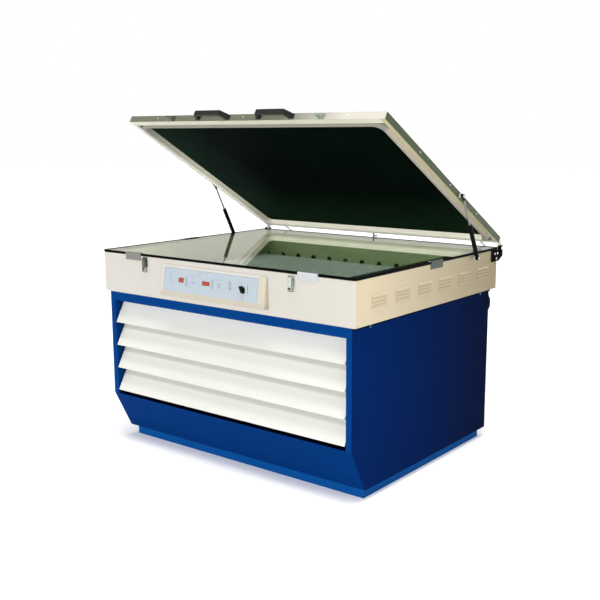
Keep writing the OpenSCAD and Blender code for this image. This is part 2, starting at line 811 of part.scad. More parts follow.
// Glass on the housing's top flange, inside the gasket
module glass_plate() placed() color([0.75, 0.88, 0.84, 0.4])
    translate([0, 0, glass_z]) linear_extrude(glass_t)
        round_plan(housing_w - 2, 1, housing_d - 1, housing_corner_r - 1);

// Rubber gasket round the glass edge
module glass_gasket() placed() color(black) {
    out = 1;
    translate([0, 0, housing_top]) difference() {
        linear_extrude(gasket_h)
            round_plan(housing_w + 2 * out, -out, housing_d + out, housing_corner_r + out);
        translate([0, 0, glass_z - housing_top]) linear_extrude(glass_t)
            round_plan(housing_w - 2, 1, housing_d - 1, housing_corner_r - 1);
        slab([-housing_w / 2 + gasket_rest - 1, housing_w / 2 - gasket_rest + 1],
             [gasket_rest - 1, housing_d - gasket_rest + 1], [-1, gasket_h / 2]);
        slab([-housing_w / 2 + gasket_lip - 1, housing_w / 2 - gasket_lip + 1],
             [gasket_lip - 1, housing_d - gasket_lip + 1], [gasket_h / 2, gasket_h + 1]);
    }
}

// Glass clip, drawn on the front wall: a leg on the wall, a joggle and a lip over the glass
module glass_clip() {
    t = 1.5;
    lip = 12;
    leg = 1.3;
    slab([-clip_len / 2, clip_len / 2], [-t - 0.3, 0], [gasket_top - clip_h, housing_top - 0.4]);
    slab([-clip_len / 2, clip_len / 2], [-leg - t, -leg], [housing_top - 4, gasket_top + face_gap + t]);
    slab([-clip_len / 2, clip_len / 2], [-leg - t, lip], [gasket_top + face_gap, gasket_top + face_gap + t]);
}
module glass_clips() placed() color(zinc) {
    for (x = clip_front_xs) translate([x, 0, 0]) glass_clip();
    translate([housing_w / 2, clip_right_y, 0]) rotate([0, 0, 90]) glass_clip();
    translate([-housing_w / 2, clip_left_y, 0]) rotate([0, 0, -90]) glass_clip();
}

// Latch base: plate with two cheeks that hold the lever's pin
module latch_base() {
    slab([-latch_w / 2, latch_w / 2], [-2, 0], [latch_pivot_z - 34, latch_pivot_z + 10]);
    both_sides() slab([cheek_x, cheek_x + cheek_t], [latch_pivot_y - 4, 0],
                      [latch_pivot_z - 4.5, latch_pivot_z + 4.5]);
    translate([0, latch_pivot_y, latch_pivot_z]) rod_x(-pin_end, pin_end, latch_pin_r);
}
module latch_bases() placed() color(zinc)
    for (x = latch_xs) translate([x, 0, 0]) latch_base();

// Latch lever: a channel on the pin with a turned-out tip
module latch_lever(x) placed() color(zinc) translate([x, 0, 0]) {
    ear_t = 1.5;
    front = latch_pivot_y - 5;
    tip = latch_pivot_z - latch_lever_len;
    difference() {
        union() {
            slab([-lever_half, lever_half], [front, front + 1.5], [tip + 12, latch_pivot_z + 1]);
            for (ear = [-lever_half, lever_half - ear_t])
                slab([ear, ear + ear_t], [front + 1, latch_pivot_y + 3.5],
                     [latch_hook_z - 3.5, latch_pivot_z + 2.5]);
            across(-5, 5) polygon([[front, tip + 13], [front + 1.5, tip + 13], [front + 0.8, tip + 6],
                                   [front - 1, tip], [front - 2.5, tip + 0.5], [front - 0.7, tip + 6.5]]);
        }
        translate([0, latch_pivot_y, latch_pivot_z]) rod_x(-latch_w, latch_w, latch_pin_r + run_clear);
        translate([0, latch_pivot_y, latch_hook_z]) rod_x(-latch_w, latch_w, hook_wire_r + run_clear);
    }
}
module latch_lever_left() latch_lever(latch_left_x);
module latch_lever_right() latch_lever(latch_right_x);

// Latch hook: a wire loop that hangs from the lever's ears, with its bar at the bottom
module latch_hook(x) placed() color(zinc) translate([x, latch_pivot_y, latch_hook_z]) {
    both_sides() {
        rod_x(lever_half - 2, hook_leg_x, hook_wire_r);
        translate([hook_leg_x, 0, -hook_len]) cylinder(h = hook_len, r = hook_wire_r);
    }
    translate([0, 0, -hook_len]) rod_x(-hook_leg_x, hook_leg_x, hook_wire_r);
}
module latch_hook_left() latch_hook(latch_left_x);
module latch_hook_right() latch_hook(latch_right_x);

// Strikes on the lid's front edge: plate, tongue and upturned lip
module latch_strikes() on_lid() color(zinc)
    for (x = latch_xs) translate([x, -lid_len, 0]) {
        lip_t = 1.5;
        reach = lid_setback - hook_shut_y + hook_wire_r + 0.25 + lip_t;
        slab([-15, 15], [-2, 0], [2, lid_t - 4]);
        slab([-9, 9], [-reach, 0], strike_z);
        slab([-9, 9], [-reach, -reach + lip_t], [strike_z[0], strike_z[1] + 5]);
    }

// Console bezel: a hollow wedge whose face carries the overlay
module console_bezel() color(cream) difference() {
    placed() across(console_x - console_w / 2, console_x + console_w / 2)
        polygon([[0, console_top_z], [-console_top_out, console_top_z],
                 [-console_bottom_out, console_top_z - console_face_h * cos(console_lean)],
                 [0, console_top_z - console_face_h * cos(console_lean)]]);
    on_console() {
        slab([console_x - console_w / 2 + face_t, console_x + console_w / 2 - face_t],
             [-console_face_h + face_t + 2, -face_t], [-60, -face_t]);
        slab([overlay_x - overlay_w / 2, overlay_x + overlay_w / 2],
             [overlay_top - overlay_h, overlay_top], [-overlay_t, 10]);
        console_cuts();
    }
}

// Cut-outs of the console's face: display windows, lamp holes, buttons and the knob's shaft
module console_cuts() {
    for (d = [display_1, display_2])
        slab([d[0] - d[2] / 2, d[0] + d[2] / 2], [d[1] - d[3] / 2, d[1] + d[3] / 2], [-20, 20]);
    lamp_places() translate([0, 0, -20]) cylinder(h = 40, r = 2.4);
    for (y = button_ys)
        slab([button_x - button_w / 2 - 0.3, button_x + button_w / 2 + 0.3],
             [y - button_h / 2 - 0.3, y + button_h / 2 + 0.3], [-20, 20]);
    translate([knob_x, knob_y, -20]) cylinder(h = 40, r = knob_shaft_r + 0.5);
}

// Places of the indicator lamps beside the displays
module lamp_places() {
    for (i = [0 : 3]) translate([overlay_x - 125, overlay_top - 35 - i * 11, 0]) children();
    for (i = [0 : 4]) translate([overlay_x + 23, overlay_top - 31 - i * 9, 0]) children();
    for (x = [52, 62], i = [0 : 1]) translate([overlay_x + x, overlay_top - 44 - i * 11, 0]) children();
}

// Pale overlay sheet on the console's face
module console_overlay() on_console() color([0.76, 0.83, 0.90]) difference() {
    slab([overlay_x - overlay_w / 2, overlay_x + overlay_w / 2],
         [overlay_top - overlay_h, overlay_top], [-overlay_t, 0]);
    console_cuts();
}

// Circuit board with the two displays, the indicator lamps and the rotary switch body
module display_board() on_console() color([0.55, 0.10, 0.08]) difference() {
    union() {
        slab(board_x, board_y, [board_z, board_z + board_t]);
        for (d = [display_1, display_2])
            slab([d[0] - d[2] / 2 + 0.4, d[0] + d[2] / 2 - 0.4],
                 [d[1] - d[3] / 2 + 0.4, d[1] + d[3] / 2 - 0.4], [board_z, -0.3]);
        for (x = [board_x[0] + 8, board_x[1] - 8], y = [board_y[0] + 8, board_y[1] - 8])
            translate([x, y, board_z]) cylinder(h = -face_t - board_z, r = 4);
        lamp_places() translate([0, 0, board_z]) cylinder(h = -board_z + 0.4, r = 2, $fn = 24);
        slab([knob_x - 12, knob_x + 12], [knob_y - 12, knob_y + 12], [board_z - 8, -face_t - 0.6]);
    }
    translate([knob_x, knob_y, -60]) cylinder(h = 80, r = knob_shaft_r + run_clear);
}

// Push button: cap with a flange behind the face
module push_button(y) on_console() color([0.62, 0.65, 0.68]) {
    slab([button_x - button_w / 2, button_x + button_w / 2], [y - button_h / 2, y + button_h / 2],
         [-4.8, 2.6]);
    slab([button_x - button_w / 2 - 1.2, button_x + button_w / 2 + 1.2],
         [y - button_h / 2 - 1.2, y + button_h / 2 + 1.2], [-4.8, -face_t - face_gap]);
}
module start_button() push_button(button_ys[0]);
module stop_button() push_button(button_ys[1]);

// Selector knob: skirt, pointer grip and shaft
module selector_knob() on_console() color(black) translate([knob_x, knob_y, 0]) {
    grip_l = 2 * knob_r + 4;
    translate([0, 0, 0.5]) cylinder(h = 5, r = knob_r - 4);
    rotate([0, 0, 30]) {
        slab([-4.5, 4.5], [-grip_l / 2 + 4.5, grip_l / 2 - 4.5], [5, 16]);
        for (y = [-grip_l / 2 + 4.5, grip_l / 2 - 4.5]) translate([0, y, 0.5]) cylinder(h = 15.5, r = 4.5);
    }
    translate([0, 0, -16]) cylinder(h = 18, r = knob_shaft_r);
}

// Lid frame: open rail frame with an inner ledge, and the two bars behind its rear edge
module lid_frame() on_lid() color(cream) {
    bar_w = 10;
    bar_out = 104;
    bar_x0 = 590;
    difference() {
        slab([-lid_x, lid_x], [-lid_len, 0], [0, lid_t]);
        slab([-lid_x + lid_rail_w, lid_x - lid_rail_w], [-lid_len + lid_rail_w, -lid_rail_w],
             [-1, lid_t + 1]);
        slab([-lid_x + sheet_t, lid_x - sheet_t], [-lid_len + sheet_t, -sheet_t],
             [blanket_rise, lid_t - sheet_t]);
        slab([-lid_x + strip_side, lid_x - strip_side], [-lid_len + strip_front, -strip_rear],
             [-1, blanket_rise + 1]);
    }
    both_sides() slab([bar_x0 - bar_w / 2, bar_x0 + bar_w / 2], [-sheet_t, bar_out], [11, 16]);
}

// Plan of the seal, drawn in by a margin on each edge
module seal_plan(margin) {
    w = 2 * (lid_x - strip_side);
    inner = seal_w - margin;
    difference() {
        round_plan(w - 2 * margin, -lid_len + strip_front + margin, -strip_rear - margin,
                   seal_corner_r - margin);
        round_plan(w - 2 * inner, -lid_len + strip_front + inner, -strip_rear - inner, seal_inner_r + margin);
    }
}

// Rubber seal round the blanket, in three steps that follow its round back
module seal_bead() on_lid() color([0.86, 0.83, 0.75]) {
    translate([0, 0, -seal_drop * 0.35]) linear_extrude(blanket_rise + seal_drop * 0.35) seal_plan(0);
    translate([0, 0, -seal_drop * 0.75]) linear_extrude(seal_drop * 0.41) seal_plan(4);
    translate([0, 0, -seal_drop]) linear_extrude(seal_drop * 0.26) seal_plan(9);
}

// Rubber blanket, clamped on the frame's ledge
module blanket() on_lid() color([0.05, 0.08, 0.07])
    slab([-lid_x + 5, lid_x - 5], [-lid_len + 5, -5], [blanket_rise, blanket_rise + blanket_t]);

// Strips that clamp the blanket's edges
module blanket_clamps() on_lid() color(zinc) {
    z = [blanket_rise + blanket_t, blanket_rise + blanket_t + 3];
    end = 60;
    both_sides() slab([lid_x - strip_side + 1, lid_x - 5], [-lid_len + end, -end], z);
    slab([-lid_x + end, lid_x - end], [-lid_len + 5, -lid_len + strip_front - 1], z);
    slab([-lid_x + end, lid_x - end], [-strip_rear + 1, -5], z);
}

// Bridge handles on the lid's front edge
module handle() {
    half = handle_len / 2;
    knee = half - 28;
    foot = 26;
    translate([0, 0, (lid_t - handle_h) / 2]) linear_extrude(handle_h)
        polygon([[-half, 0], [-knee, -handle_out], [knee, -handle_out], [half, 0],
                 [half - foot, 0], [half - foot, -3], [knee - 5, -handle_out + handle_t],
                 [-knee + 5, -handle_out + handle_t], [-half + foot, -3], [-half + foot, 0]]);
}
module lid_handles() on_lid() color(black)
    for (x = [handle_left_x, handle_right_x]) translate([x, -lid_len, 0]) handle();

// Vacuum port at the middle of the lid's rear edge
module vacuum_port() on_lid() color([0.45, 0.45, 0.36]) {
    translate([0, 0, 16]) {
        rod_y(0, 12, 7);
        translate([0, 8, 0]) rotate([lid_open_angle, 0, 0]) {
            translate([0, 0, -34]) cylinder(h = 36, r = 4.5);
            translate([0, 0, -24]) rod_x(0, 20, 3.2);
            translate([0, 0, -24]) rod_x(14, 18, 4);
        }
    }
}

// Places of the hinge plate's screws on the right side
screw_r = 3;
module hinge_screw_places() {
    for (p = [[40, 26], [14, 26], [24, 49]])
        translate([housing_w / 2, housing_d - p[0], gasket_top - p[1]]) children();
}

// Hinge plates on the housing's sides, each with its riveted pin
module hinge_plates() placed() color(black)
    both_sides() {
        x0 = housing_w / 2;
        difference() {
            across(x0, x0 + hinge_plate_t)
                polygon([[housing_d - 64, housing_top - 2], [housing_d + 3, housing_top - 2],
                         [housing_d + 3, hinge_z + 12], [hinge_y + 15, hinge_z + 12],
                         [hinge_y + 15, hinge_z - 36], [housing_d + 4, hinge_z - 56],
                         [housing_d - 64, hinge_z - 56]]);
            hinge_screw_places() rod_x(-20, 20, screw_r + run_clear);
        }
        translate([0, hinge_y, hinge_z]) {
            rod_x(x0 - 12, x0 + hinge_plate_t, hinge_pin_r);
            rod_x(x0 + hinge_plate_t, x0 + hinge_plate_t + 4, 8);
            rod_x(x0 - 14, x0 - 9, 8);
        }
    }

// Screws of the hinge plates
module hinge_screws() placed() color(zinc)
    both_sides() hinge_screw_places() {
        rod_x(hinge_plate_t, hinge_plate_t + 3, 5.5);
        rod_x(-8, hinge_plate_t, screw_r);
    }

// Hinge arms behind the lid: foot on the rear edge and a lug on the pin
module hinge_arms() on_lid() color(cream)
    both_sides() {
        lug = [housing_w / 2 - 8.5, housing_w / 2 - 0.8];
        ay = hinge_y - housing_d;
        az = hinge_z - lid_z;
        difference() {
            union() {
                slab([lid_x - 40, lid_x - 0.2], [0, 4], [2, lid_t - 2]);
                across(lug[0], lug[1])
                    polygon([[2, 2], [2, lid_t - 2], [ay + 10, az + 7], [ay - 10, az - 7]]);
                translate([0, ay, az]) rod_x(lug[0], lug[1], 12);
            }
            translate([0, ay, az]) rod_x(lug[0] - 1, lug[1] + 1, hinge_pin_r + run_clear);
        }
    }

// Lower studs of the gas springs, on the housing's sides
module spring_studs() placed() color(zinc)
    both_sides() translate([0, spring_low_y, spring_low_z]) {
        rod_x(housing_w / 2, housing_w / 2 + 4, 9);
        rod_x(housing_w / 2, spring_x + eye_w / 2 + 1, stud_r);
        rod_x(spring_x + eye_w / 2 + 0.5, spring_x + eye_w / 2 + 3, 6);
    }

// Gas spring cylinder with the eye on its lower stud
module spring_cylinder(side) on_spring(side) color(black) difference() {
    union() {
        rod_x(-eye_w / 2, eye_w / 2, eye_r);
        cylinder(h = 20, r = 6);
        translate([0, 0, 14]) cylinder(h = cylinder_len - 14, r = spring_r);
    }
    rod_x(-eye_w, eye_w, stud_r + run_clear);
    translate([0, 0, 24]) cylinder(h = cylinder_len - 24 - guide_len, r = spring_r - 1.5);
    translate([0, 0, cylinder_len - guide_len - 1]) cylinder(h = guide_len + 2, r = rod_r + run_clear);
}
module spring_cylinder_left() spring_cylinder(-1);
module spring_cylinder_right() spring_cylinder(1);

// Gas spring rod with its piston, its end eye and the stud that meets the lid's side
module spring_rod(side) on_spring(side) color(zinc) {
    piston_top = cylinder_len - guide_len - 2;
    lid_side = lid_x - spring_x;
    translate([0, 0, piston_top - piston_len]) cylinder(h = piston_len, r = spring_r - 1.5 - 0.1);
    translate([0, 0, piston_top - 1]) cylinder(h = spring_open_len - piston_top - eye_r + 3, r = rod_r);
    translate([0, 0, spring_open_len - 22]) cylinder(h = 14, r = 6);
    translate([0, 0, spring_open_len]) mirror([side < 0 ? 1 : 0, 0, 0]) {
        rod_x(-eye_w / 2, eye_w / 2 + 2, eye_r);
        rod_x(lid_side + face_gap, 0, stud_r);
        rod_x(lid_side + face_gap, lid_side + face_gap + 4, 9);
    }
}
module spring_rod_left() spring_rod(-1);
module spring_rod_right() spring_rod(1);

// Where the link cable starts, under the housing's rear edge, and where it ends, in the cabinet's back
module cable_start_place() translate([cable_x, housing_d + cable_first[1], cabinet_h]) children();
module cable_end_place() translate([cable_x, cab_back, cabinet_h + cable_last[2]]) children();

// Link cable with its two glands
cable_sides = 8;
function cable_dir(i) =
    let (a = cable_route[max(i - 1, 0)], b = cable_route[min(i + 1, len(cable_route) - 1)], d = b - a)
    d / norm(d);
function cable_ring(i) =
    let (d = cable_dir(i), u = [1, 0, 0], v = cross(d, u))
    [for (j = [0 : cable_sides - 1])
        cable_route[i] + cable_r * (cos(j * 360 / cable_sides) * u + sin(j * 360 / cable_sides) * v)];
module link_cable() placed() color(black) {
    count = len(cable_route);
    rings = [for (i = [0 : count - 1]) each cable_ring(i)];
    sides = [for (i = [0 : count - 2], j = [0 : cable_sides - 1])
        let (a = i * cable_sides + j, b = i * cable_sides + (j + 1) % cable_sides)
        each [[a, a + cable_sides, b], [b, a + cable_sides, b + cable_sides]]];
    ends = [[for (j = [0 : cable_sides - 1]) j],
            [for (j = [cable_sides - 1 : -1 : 0]) (count - 1) * cable_sides + j]];
    translate([cable_x, housing_d, cabinet_h]) polyhedron(rings, concat(sides, ends));
    cable_start_place() translate([0, 0, cable_first[2]]) cylinder(h = -cable_first[2], r = gland_r);
    cable_end_place() rod_y(0, rear_overhang + cable_last[1], gland_r);
}

cabinet_base();
cabinet_side_left();
cabinet_side_right();
cabinet_back();
front_frame();
toe_panel();
drawer_front_1();
drawer_front_2();
drawer_front_3();
drawer_front_4();
drawer_tray_1();
drawer_tray_2();
drawer_tray_3();
drawer_tray_4();
drawer_runners();
duct_panel();
heaters();
blower_motor();
blower_wheel();
housing_shell();
housing_floor();
light_box();
uv_tubes();
lamp_holders();
ballasts();
vacuum_pump();
fan_frames();
fan_rotor_left();
fan_rotor_right();
glass_plate();
glass_gasket();
glass_clips();
latch_bases();
latch_lever_left();
latch_lever_right();
latch_hook_left();
latch_hook_right();
latch_strikes();
console_bezel();
console_overlay();
display_board();
start_button();
stop_button();
selector_knob();
lid_frame();
seal_bead();
blanket();
blanket_clamps();
lid_handles();
vacuum_port();
hinge_plates();
hinge_arms();
hinge_screws();
spring_studs();
spring_cylinder_left();
spring_cylinder_right();
spring_rod_left();
spring_rod_right();
joining_bolts();
link_cable();
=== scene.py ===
import json
import math

import bmesh
import bpy
from mathutils import Matrix, Vector, noise

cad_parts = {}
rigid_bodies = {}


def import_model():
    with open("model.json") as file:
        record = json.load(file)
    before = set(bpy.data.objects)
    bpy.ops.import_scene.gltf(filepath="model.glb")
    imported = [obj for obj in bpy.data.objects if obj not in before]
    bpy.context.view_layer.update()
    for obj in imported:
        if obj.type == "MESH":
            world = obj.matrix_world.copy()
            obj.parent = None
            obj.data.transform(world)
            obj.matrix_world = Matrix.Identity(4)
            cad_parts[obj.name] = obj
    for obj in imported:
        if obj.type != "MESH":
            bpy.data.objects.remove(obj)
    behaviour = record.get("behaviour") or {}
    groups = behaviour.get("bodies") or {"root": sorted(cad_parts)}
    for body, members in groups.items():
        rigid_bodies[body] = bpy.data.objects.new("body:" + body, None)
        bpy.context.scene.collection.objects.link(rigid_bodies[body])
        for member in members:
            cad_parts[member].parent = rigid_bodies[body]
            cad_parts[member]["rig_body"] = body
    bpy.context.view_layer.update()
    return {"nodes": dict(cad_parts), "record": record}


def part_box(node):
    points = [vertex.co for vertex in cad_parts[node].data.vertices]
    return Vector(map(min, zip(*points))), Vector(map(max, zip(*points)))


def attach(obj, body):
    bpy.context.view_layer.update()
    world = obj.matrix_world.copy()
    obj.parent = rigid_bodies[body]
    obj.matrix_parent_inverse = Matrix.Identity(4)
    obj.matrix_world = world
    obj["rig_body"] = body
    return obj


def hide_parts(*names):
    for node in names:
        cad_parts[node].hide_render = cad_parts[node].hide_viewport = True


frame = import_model()
nodes = frame["nodes"]
scene = bpy.context.scene

ACROSS, REAR, HEIGHT = 0, 1, 2


def far_end(node, axis):
    """How far a piece of the CAD reaches along an axis, to a hundredth of a millimetre."""
    return round(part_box(node)[1][axis], 5)


# Sizes of the CAD, in metres
GLASS_INSET = 0.001
HALF_WIDTH = far_end("glass_plate", ACROSS) + GLASS_INSET
HALF_DEPTH = far_end("housing_shell", REAR)
HOUSING_TOP = far_end("housing_shell", HEIGHT)
CABINET_HALF = far_end("cabinet_side_right", ACROSS)
CABINET_BACK = far_end("cabinet_side_right", REAR)
CABINET_TOP = far_end("cabinet_side_right", HEIGHT)
GLAND_RADIUS = 0.011
CABLE_X = far_end("link_cable", ACROSS) - GLAND_RADIUS
CABLE_RADIUS = 0.0045
LID_LENGTH = 1.110
LID_HALF = far_end("lid_frame", ACROSS)
OPEN_ANGLE = math.radians(29.8)
HINGE = Vector((0.0, 1.162 - HALF_DEPTH, 0.894))
LID_OFFSET = Vector((0.0, -0.026, 0.0134))
SEAL_OUTER_R = 0.060
SEAL_WIDTH = 0.040
FRONT_NARROWING = 0.42
STRIP_SIDE = 0.022
STRIP_FRONT = 0.032
STRIP_REAR = 0.014
BLANKET_RISE = 0.012
BLANKET_T = 0.003
CONSOLE_TOP = Vector((0.0, -0.004 - HALF_DEPTH, far_end("console_bezel", HEIGHT)))
CONSOLE_LEAN = 0.020
CONSOLE_FACE = 0.132
CONSOLE_TILT = math.pi / 2 - math.asin(CONSOLE_LEAN / CONSOLE_FACE)
CONSOLE_OUT = (0, -math.sin(CONSOLE_TILT), math.cos(CONSOLE_TILT))
CONSOLE_DOWN = (0, -math.cos(CONSOLE_TILT), -math.sin(CONSOLE_TILT))
SLAT_PITCH = far_end("drawer_front_1", HEIGHT) - far_end("drawer_front_2", HEIGHT)

# The right-hand sides lie farther right than this
SIDE_PLANE = CABINET_HALF - 0.006

# Directions along which the colours of a surface change
RIGHT, LEFT = (1, 0, 0), (-1, 0, 0)
REARWARD = (0, 1, 0)
UP, DOWN = (0, 0, 1), (0, 0, -1)
LID_FORWARD = Vector((0, -math.cos(OPEN_ANGLE), math.sin(OPEN_ANGLE)))


def on_lid(x, y, z):
    """A point of the lid, given from its rear edge and underside, where it stands open."""
    p = Vector((x, y, z)) + LID_OFFSET
    c, s = math.cos(-OPEN_ANGLE), math.sin(-OPEN_ANGLE)
    return Vector((p.x, p.y * c - p.z * s, p.y * s + p.z * c)) + HINGE


def lid_reach(y):
    """How far a place of the lid, given from its rear edge, lies along the lid's forward direction."""
    return on_lid(0, y, 0).dot(LID_FORWARD)


def on_console(x, y, z):
    """A point of the console: x across, y up its face from the top edge, z out of the face."""
    c, s = math.cos(CONSOLE_TILT), math.sin(CONSOLE_TILT)
    return Vector((x, y * c - z * s, y * s + z * c)) + CONSOLE_TOP


# Camera at the photograph's angle
def make_camera():
    data = bpy.data.cameras.new("camera")
    data.sensor_width = 36
    data.sensor_fit = "HORIZONTAL"
    data.lens = 54.7455
    cam = bpy.data.objects.new("camera", data)
    scene.collection.objects.link(cam)
    yaw = math.radians(-38.40620)
    pitch = math.radians(10.47858)
    roll = math.radians(-0.21749)
    level = Vector((math.sin(yaw), math.cos(yaw), 0.0))
    forward = level * math.cos(pitch) - Vector((0.0, 0.0, math.sin(pitch)))
    right = Vector((math.cos(yaw), -math.sin(yaw), 0.0))
    up = right.cross(forward)
    r = right * math.cos(roll) + up * math.sin(roll)
    u = up * math.cos(roll) - right * math.sin(roll)
    turn = Matrix((r, u, -forward)).transposed().to_4x4()
    place = Vector((2.57063, -3.25244, 1.42564))
    cam.matrix_world = Matrix.Translation(place) @ turn
    data.clip_start = 0.05
    data.clip_end = 60
    scene.camera = cam


make_camera()


# Material kit
def rgb(r, g, b):
    """An sRGB colour, 0 to 255, as linear values."""
    out = []
    for v in (r, g, b):
        v = v / 255
        out.append(v / 12.92 if v <= 0.04045 else ((v + 0.055) / 1.055) ** 2.4)
    return (*out, 1.0)


class Surface:
    """A node material with one Principled shader, built up step by step."""

    def __init__(self, name, colour, rough=0.5, metal=0.0):
        self.mat = bpy.data.materials.new(name)
        self.mat.use_nodes = True
        self.tree = self.mat.node_tree
        self.nodes = self.tree.nodes
        self.links = self.tree.links
        self.nodes.clear()
        self.out = self.add("ShaderNodeOutputMaterial")
        self.bsdf = self.add("ShaderNodeBsdfPrincipled")
        self.links.new(self.bsdf.outputs["BSDF"], self.out.inputs["Surface"])
        self.coords = self.add("ShaderNodeTexCoord").outputs["Object"]
        self.base = colour
        self.set("Base Color", colour)
        self.set("Roughness", rough)
        self.set("Metallic", metal)
        self.colour_from = None
        self.normal_from = None
        self.mat.diffuse_color = colour

    def add(self, kind, **values):
        node = self.nodes.new(kind)
        for key, value in values.items():
            setattr(node, key, value)
        return node

    def set(self, name, value):
        self.bsdf.inputs[name].default_value = value
        return self

    def noise(self, scale, detail, stretch=None, seed=0.0):
        """Fine or coarse noise, from about 0.3 to 0.7."""
        coords = self.coords
        if stretch is not None or seed:
            place = self.add("ShaderNodeMapping")
            place.inputs["Location"].default_value = (seed, seed * 0.7, seed * 1.3)
            if stretch is not None:
                place.inputs["Scale"].default_value = stretch
            self.links.new(coords, place.inputs["Vector"])
            coords = place.outputs["Vector"]
        node = self.add("ShaderNodeTexNoise")
        node.inputs["Scale"].default_value = scale
        node.inputs["Detail"].default_value = detail
        node.inputs["Roughness"].default_value = 0.55
        self.links.new(coords, node.inputs["Vector"])
        return node.outputs["Fac"]

    def spread(self, value, low, high, from_low=0.3, from_high=0.7):
        """Maps one range of values to another."""
        node = self.add("ShaderNodeMapRange")
        node.inputs["From Min"].default_value = from_low
        node.inputs["From Max"].default_value = from_high
        node.inputs["To Min"].default_value = low
        node.inputs["To Max"].default_value = high
        self.links.new(value, node.inputs["Value"])
        return node.outputs["Result"]

    def mix_colour(self, factor, other):
        """Lays a second colour over the colour so far, where the factor says."""
        node = self.add("ShaderNodeMix", data_type="RGBA")
        if self.colour_from is None:
            node.inputs["A"].default_value = self.base
        else:
            self.links.new(self.colour_from, node.inputs["A"])
        node.inputs["B"].default_value = other
        self.links.new(factor, node.inputs["Factor"])
        self.colour_from = node.outputs["Result"]
        self.links.new(self.colour_from, self.bsdf.inputs["Base Color"])
        return self

    def mottle(self, scale, other, amount=0.5, seed=0.0):
        """Soft patches of a second colour."""
        patches = self.noise(scale, 4, seed=seed)
        return self.mix_colour(self.spread(patches, 0.0, amount), other)

    def rough_range(self, scale, low, high, stretch=None):
        """Roughness that wanders between two values."""
        value = self.spread(self.noise(scale, 4, stretch=stretch, seed=3.0), low, high)
        self.links.new(value, self.bsdf.inputs["Roughness"])
        return self

    def beyond(self, direction, distance):
        """1 where the surface lies farther along a direction than a distance, else 0."""
        dot = self.add("ShaderNodeVectorMath", operation="DOT_PRODUCT")
        self.links.new(self.coords, dot.inputs[0])
        dot.inputs[1].default_value = direction
        test = self.add("ShaderNodeMath", operation="GREATER_THAN")
        self.links.new(dot.outputs["Value"], test.inputs[0])
        test.inputs[1].default_value = distance
        return test.outputs["Value"]

    def along(self, direction, start, end):
        """Runs from 0 to 1 between two distances along a direction."""
        dot = self.add("ShaderNodeVectorMath", operation="DOT_PRODUCT")
        self.links.new(self.coords, dot.inputs[0])
        dot.inputs[1].default_value = direction
        return self.spread(dot.outputs["Value"], 0.0, 1.0, start, end)

    def both(self, first, second):
        """The product of two masks."""
        node = self.add("ShaderNodeMath", operation="MULTIPLY")
        self.links.new(first, node.inputs[0])
        self.links.new(second, node.inputs[1])
        return node.outputs["Value"]

    def within(self, direction, start, end):
        """1 between two distances along a direction, else 0."""
        opposite = tuple(-v for v in direction)
        return self.both(self.beyond(direction, start), self.beyond(opposite, -end))

    def bump(self, height, strength, distance):
        """Fine relief, laid over the relief so far."""
        node = self.add("ShaderNodeBump")
        node.inputs["Strength"].default_value = strength
        node.inputs["Distance"].default_value = distance
        self.links.new(height, node.inputs["Height"])
        if self.normal_from is not None:
            self.links.new(self.normal_from, node.inputs["Normal"])
        self.normal_from = node.outputs["Normal"]
        self.links.new(self.normal_from, self.bsdf.inputs["Normal"])
        return self

    def coat_finish(self, low, high, specular=0.3):
        """Gloss and fine grain of powder coat."""
        self.rough_range(9, low, high)
        self.bump(self.noise(520, 2), 0.10, 0.0003)
        return self.set("Specular IOR Level", specular)

    def soft_edges(self, radius):
        """Rounds the highlight on sharp edges, without changing the shape."""
        node = self.add("ShaderNodeBevel", samples=4)
        node.inputs["Radius"].default_value = radius
        self.normal_from = node.outputs["Normal"]
        self.links.new(self.normal_from, self.bsdf.inputs["Normal"])
        return self

    def edge_wear_and_highlight(self, radius, colour, amount):
        """A second colour along the edges, broken up by noise: worn paint, and on the blue paints also a
        painted highlight where edges catch light.
        """
        bevel = self.add("ShaderNodeBevel", samples=4)
        bevel.inputs["Radius"].default_value = radius
        flat = self.add("ShaderNodeNewGeometry")
        dot = self.add("ShaderNodeVectorMath", operation="DOT_PRODUCT")
        self.links.new(bevel.outputs["Normal"], dot.inputs[0])
        self.links.new(flat.outputs["Normal"], dot.inputs[1])
        edge = self.spread(dot.outputs["Value"], 1.0, 0.0, 0.80, 0.985)
        patches = self.spread(self.noise(60, 5, seed=11.0), 0.0, amount, 0.42, 0.60)
        return self.mix_colour(self.both(edge, patches), colour)


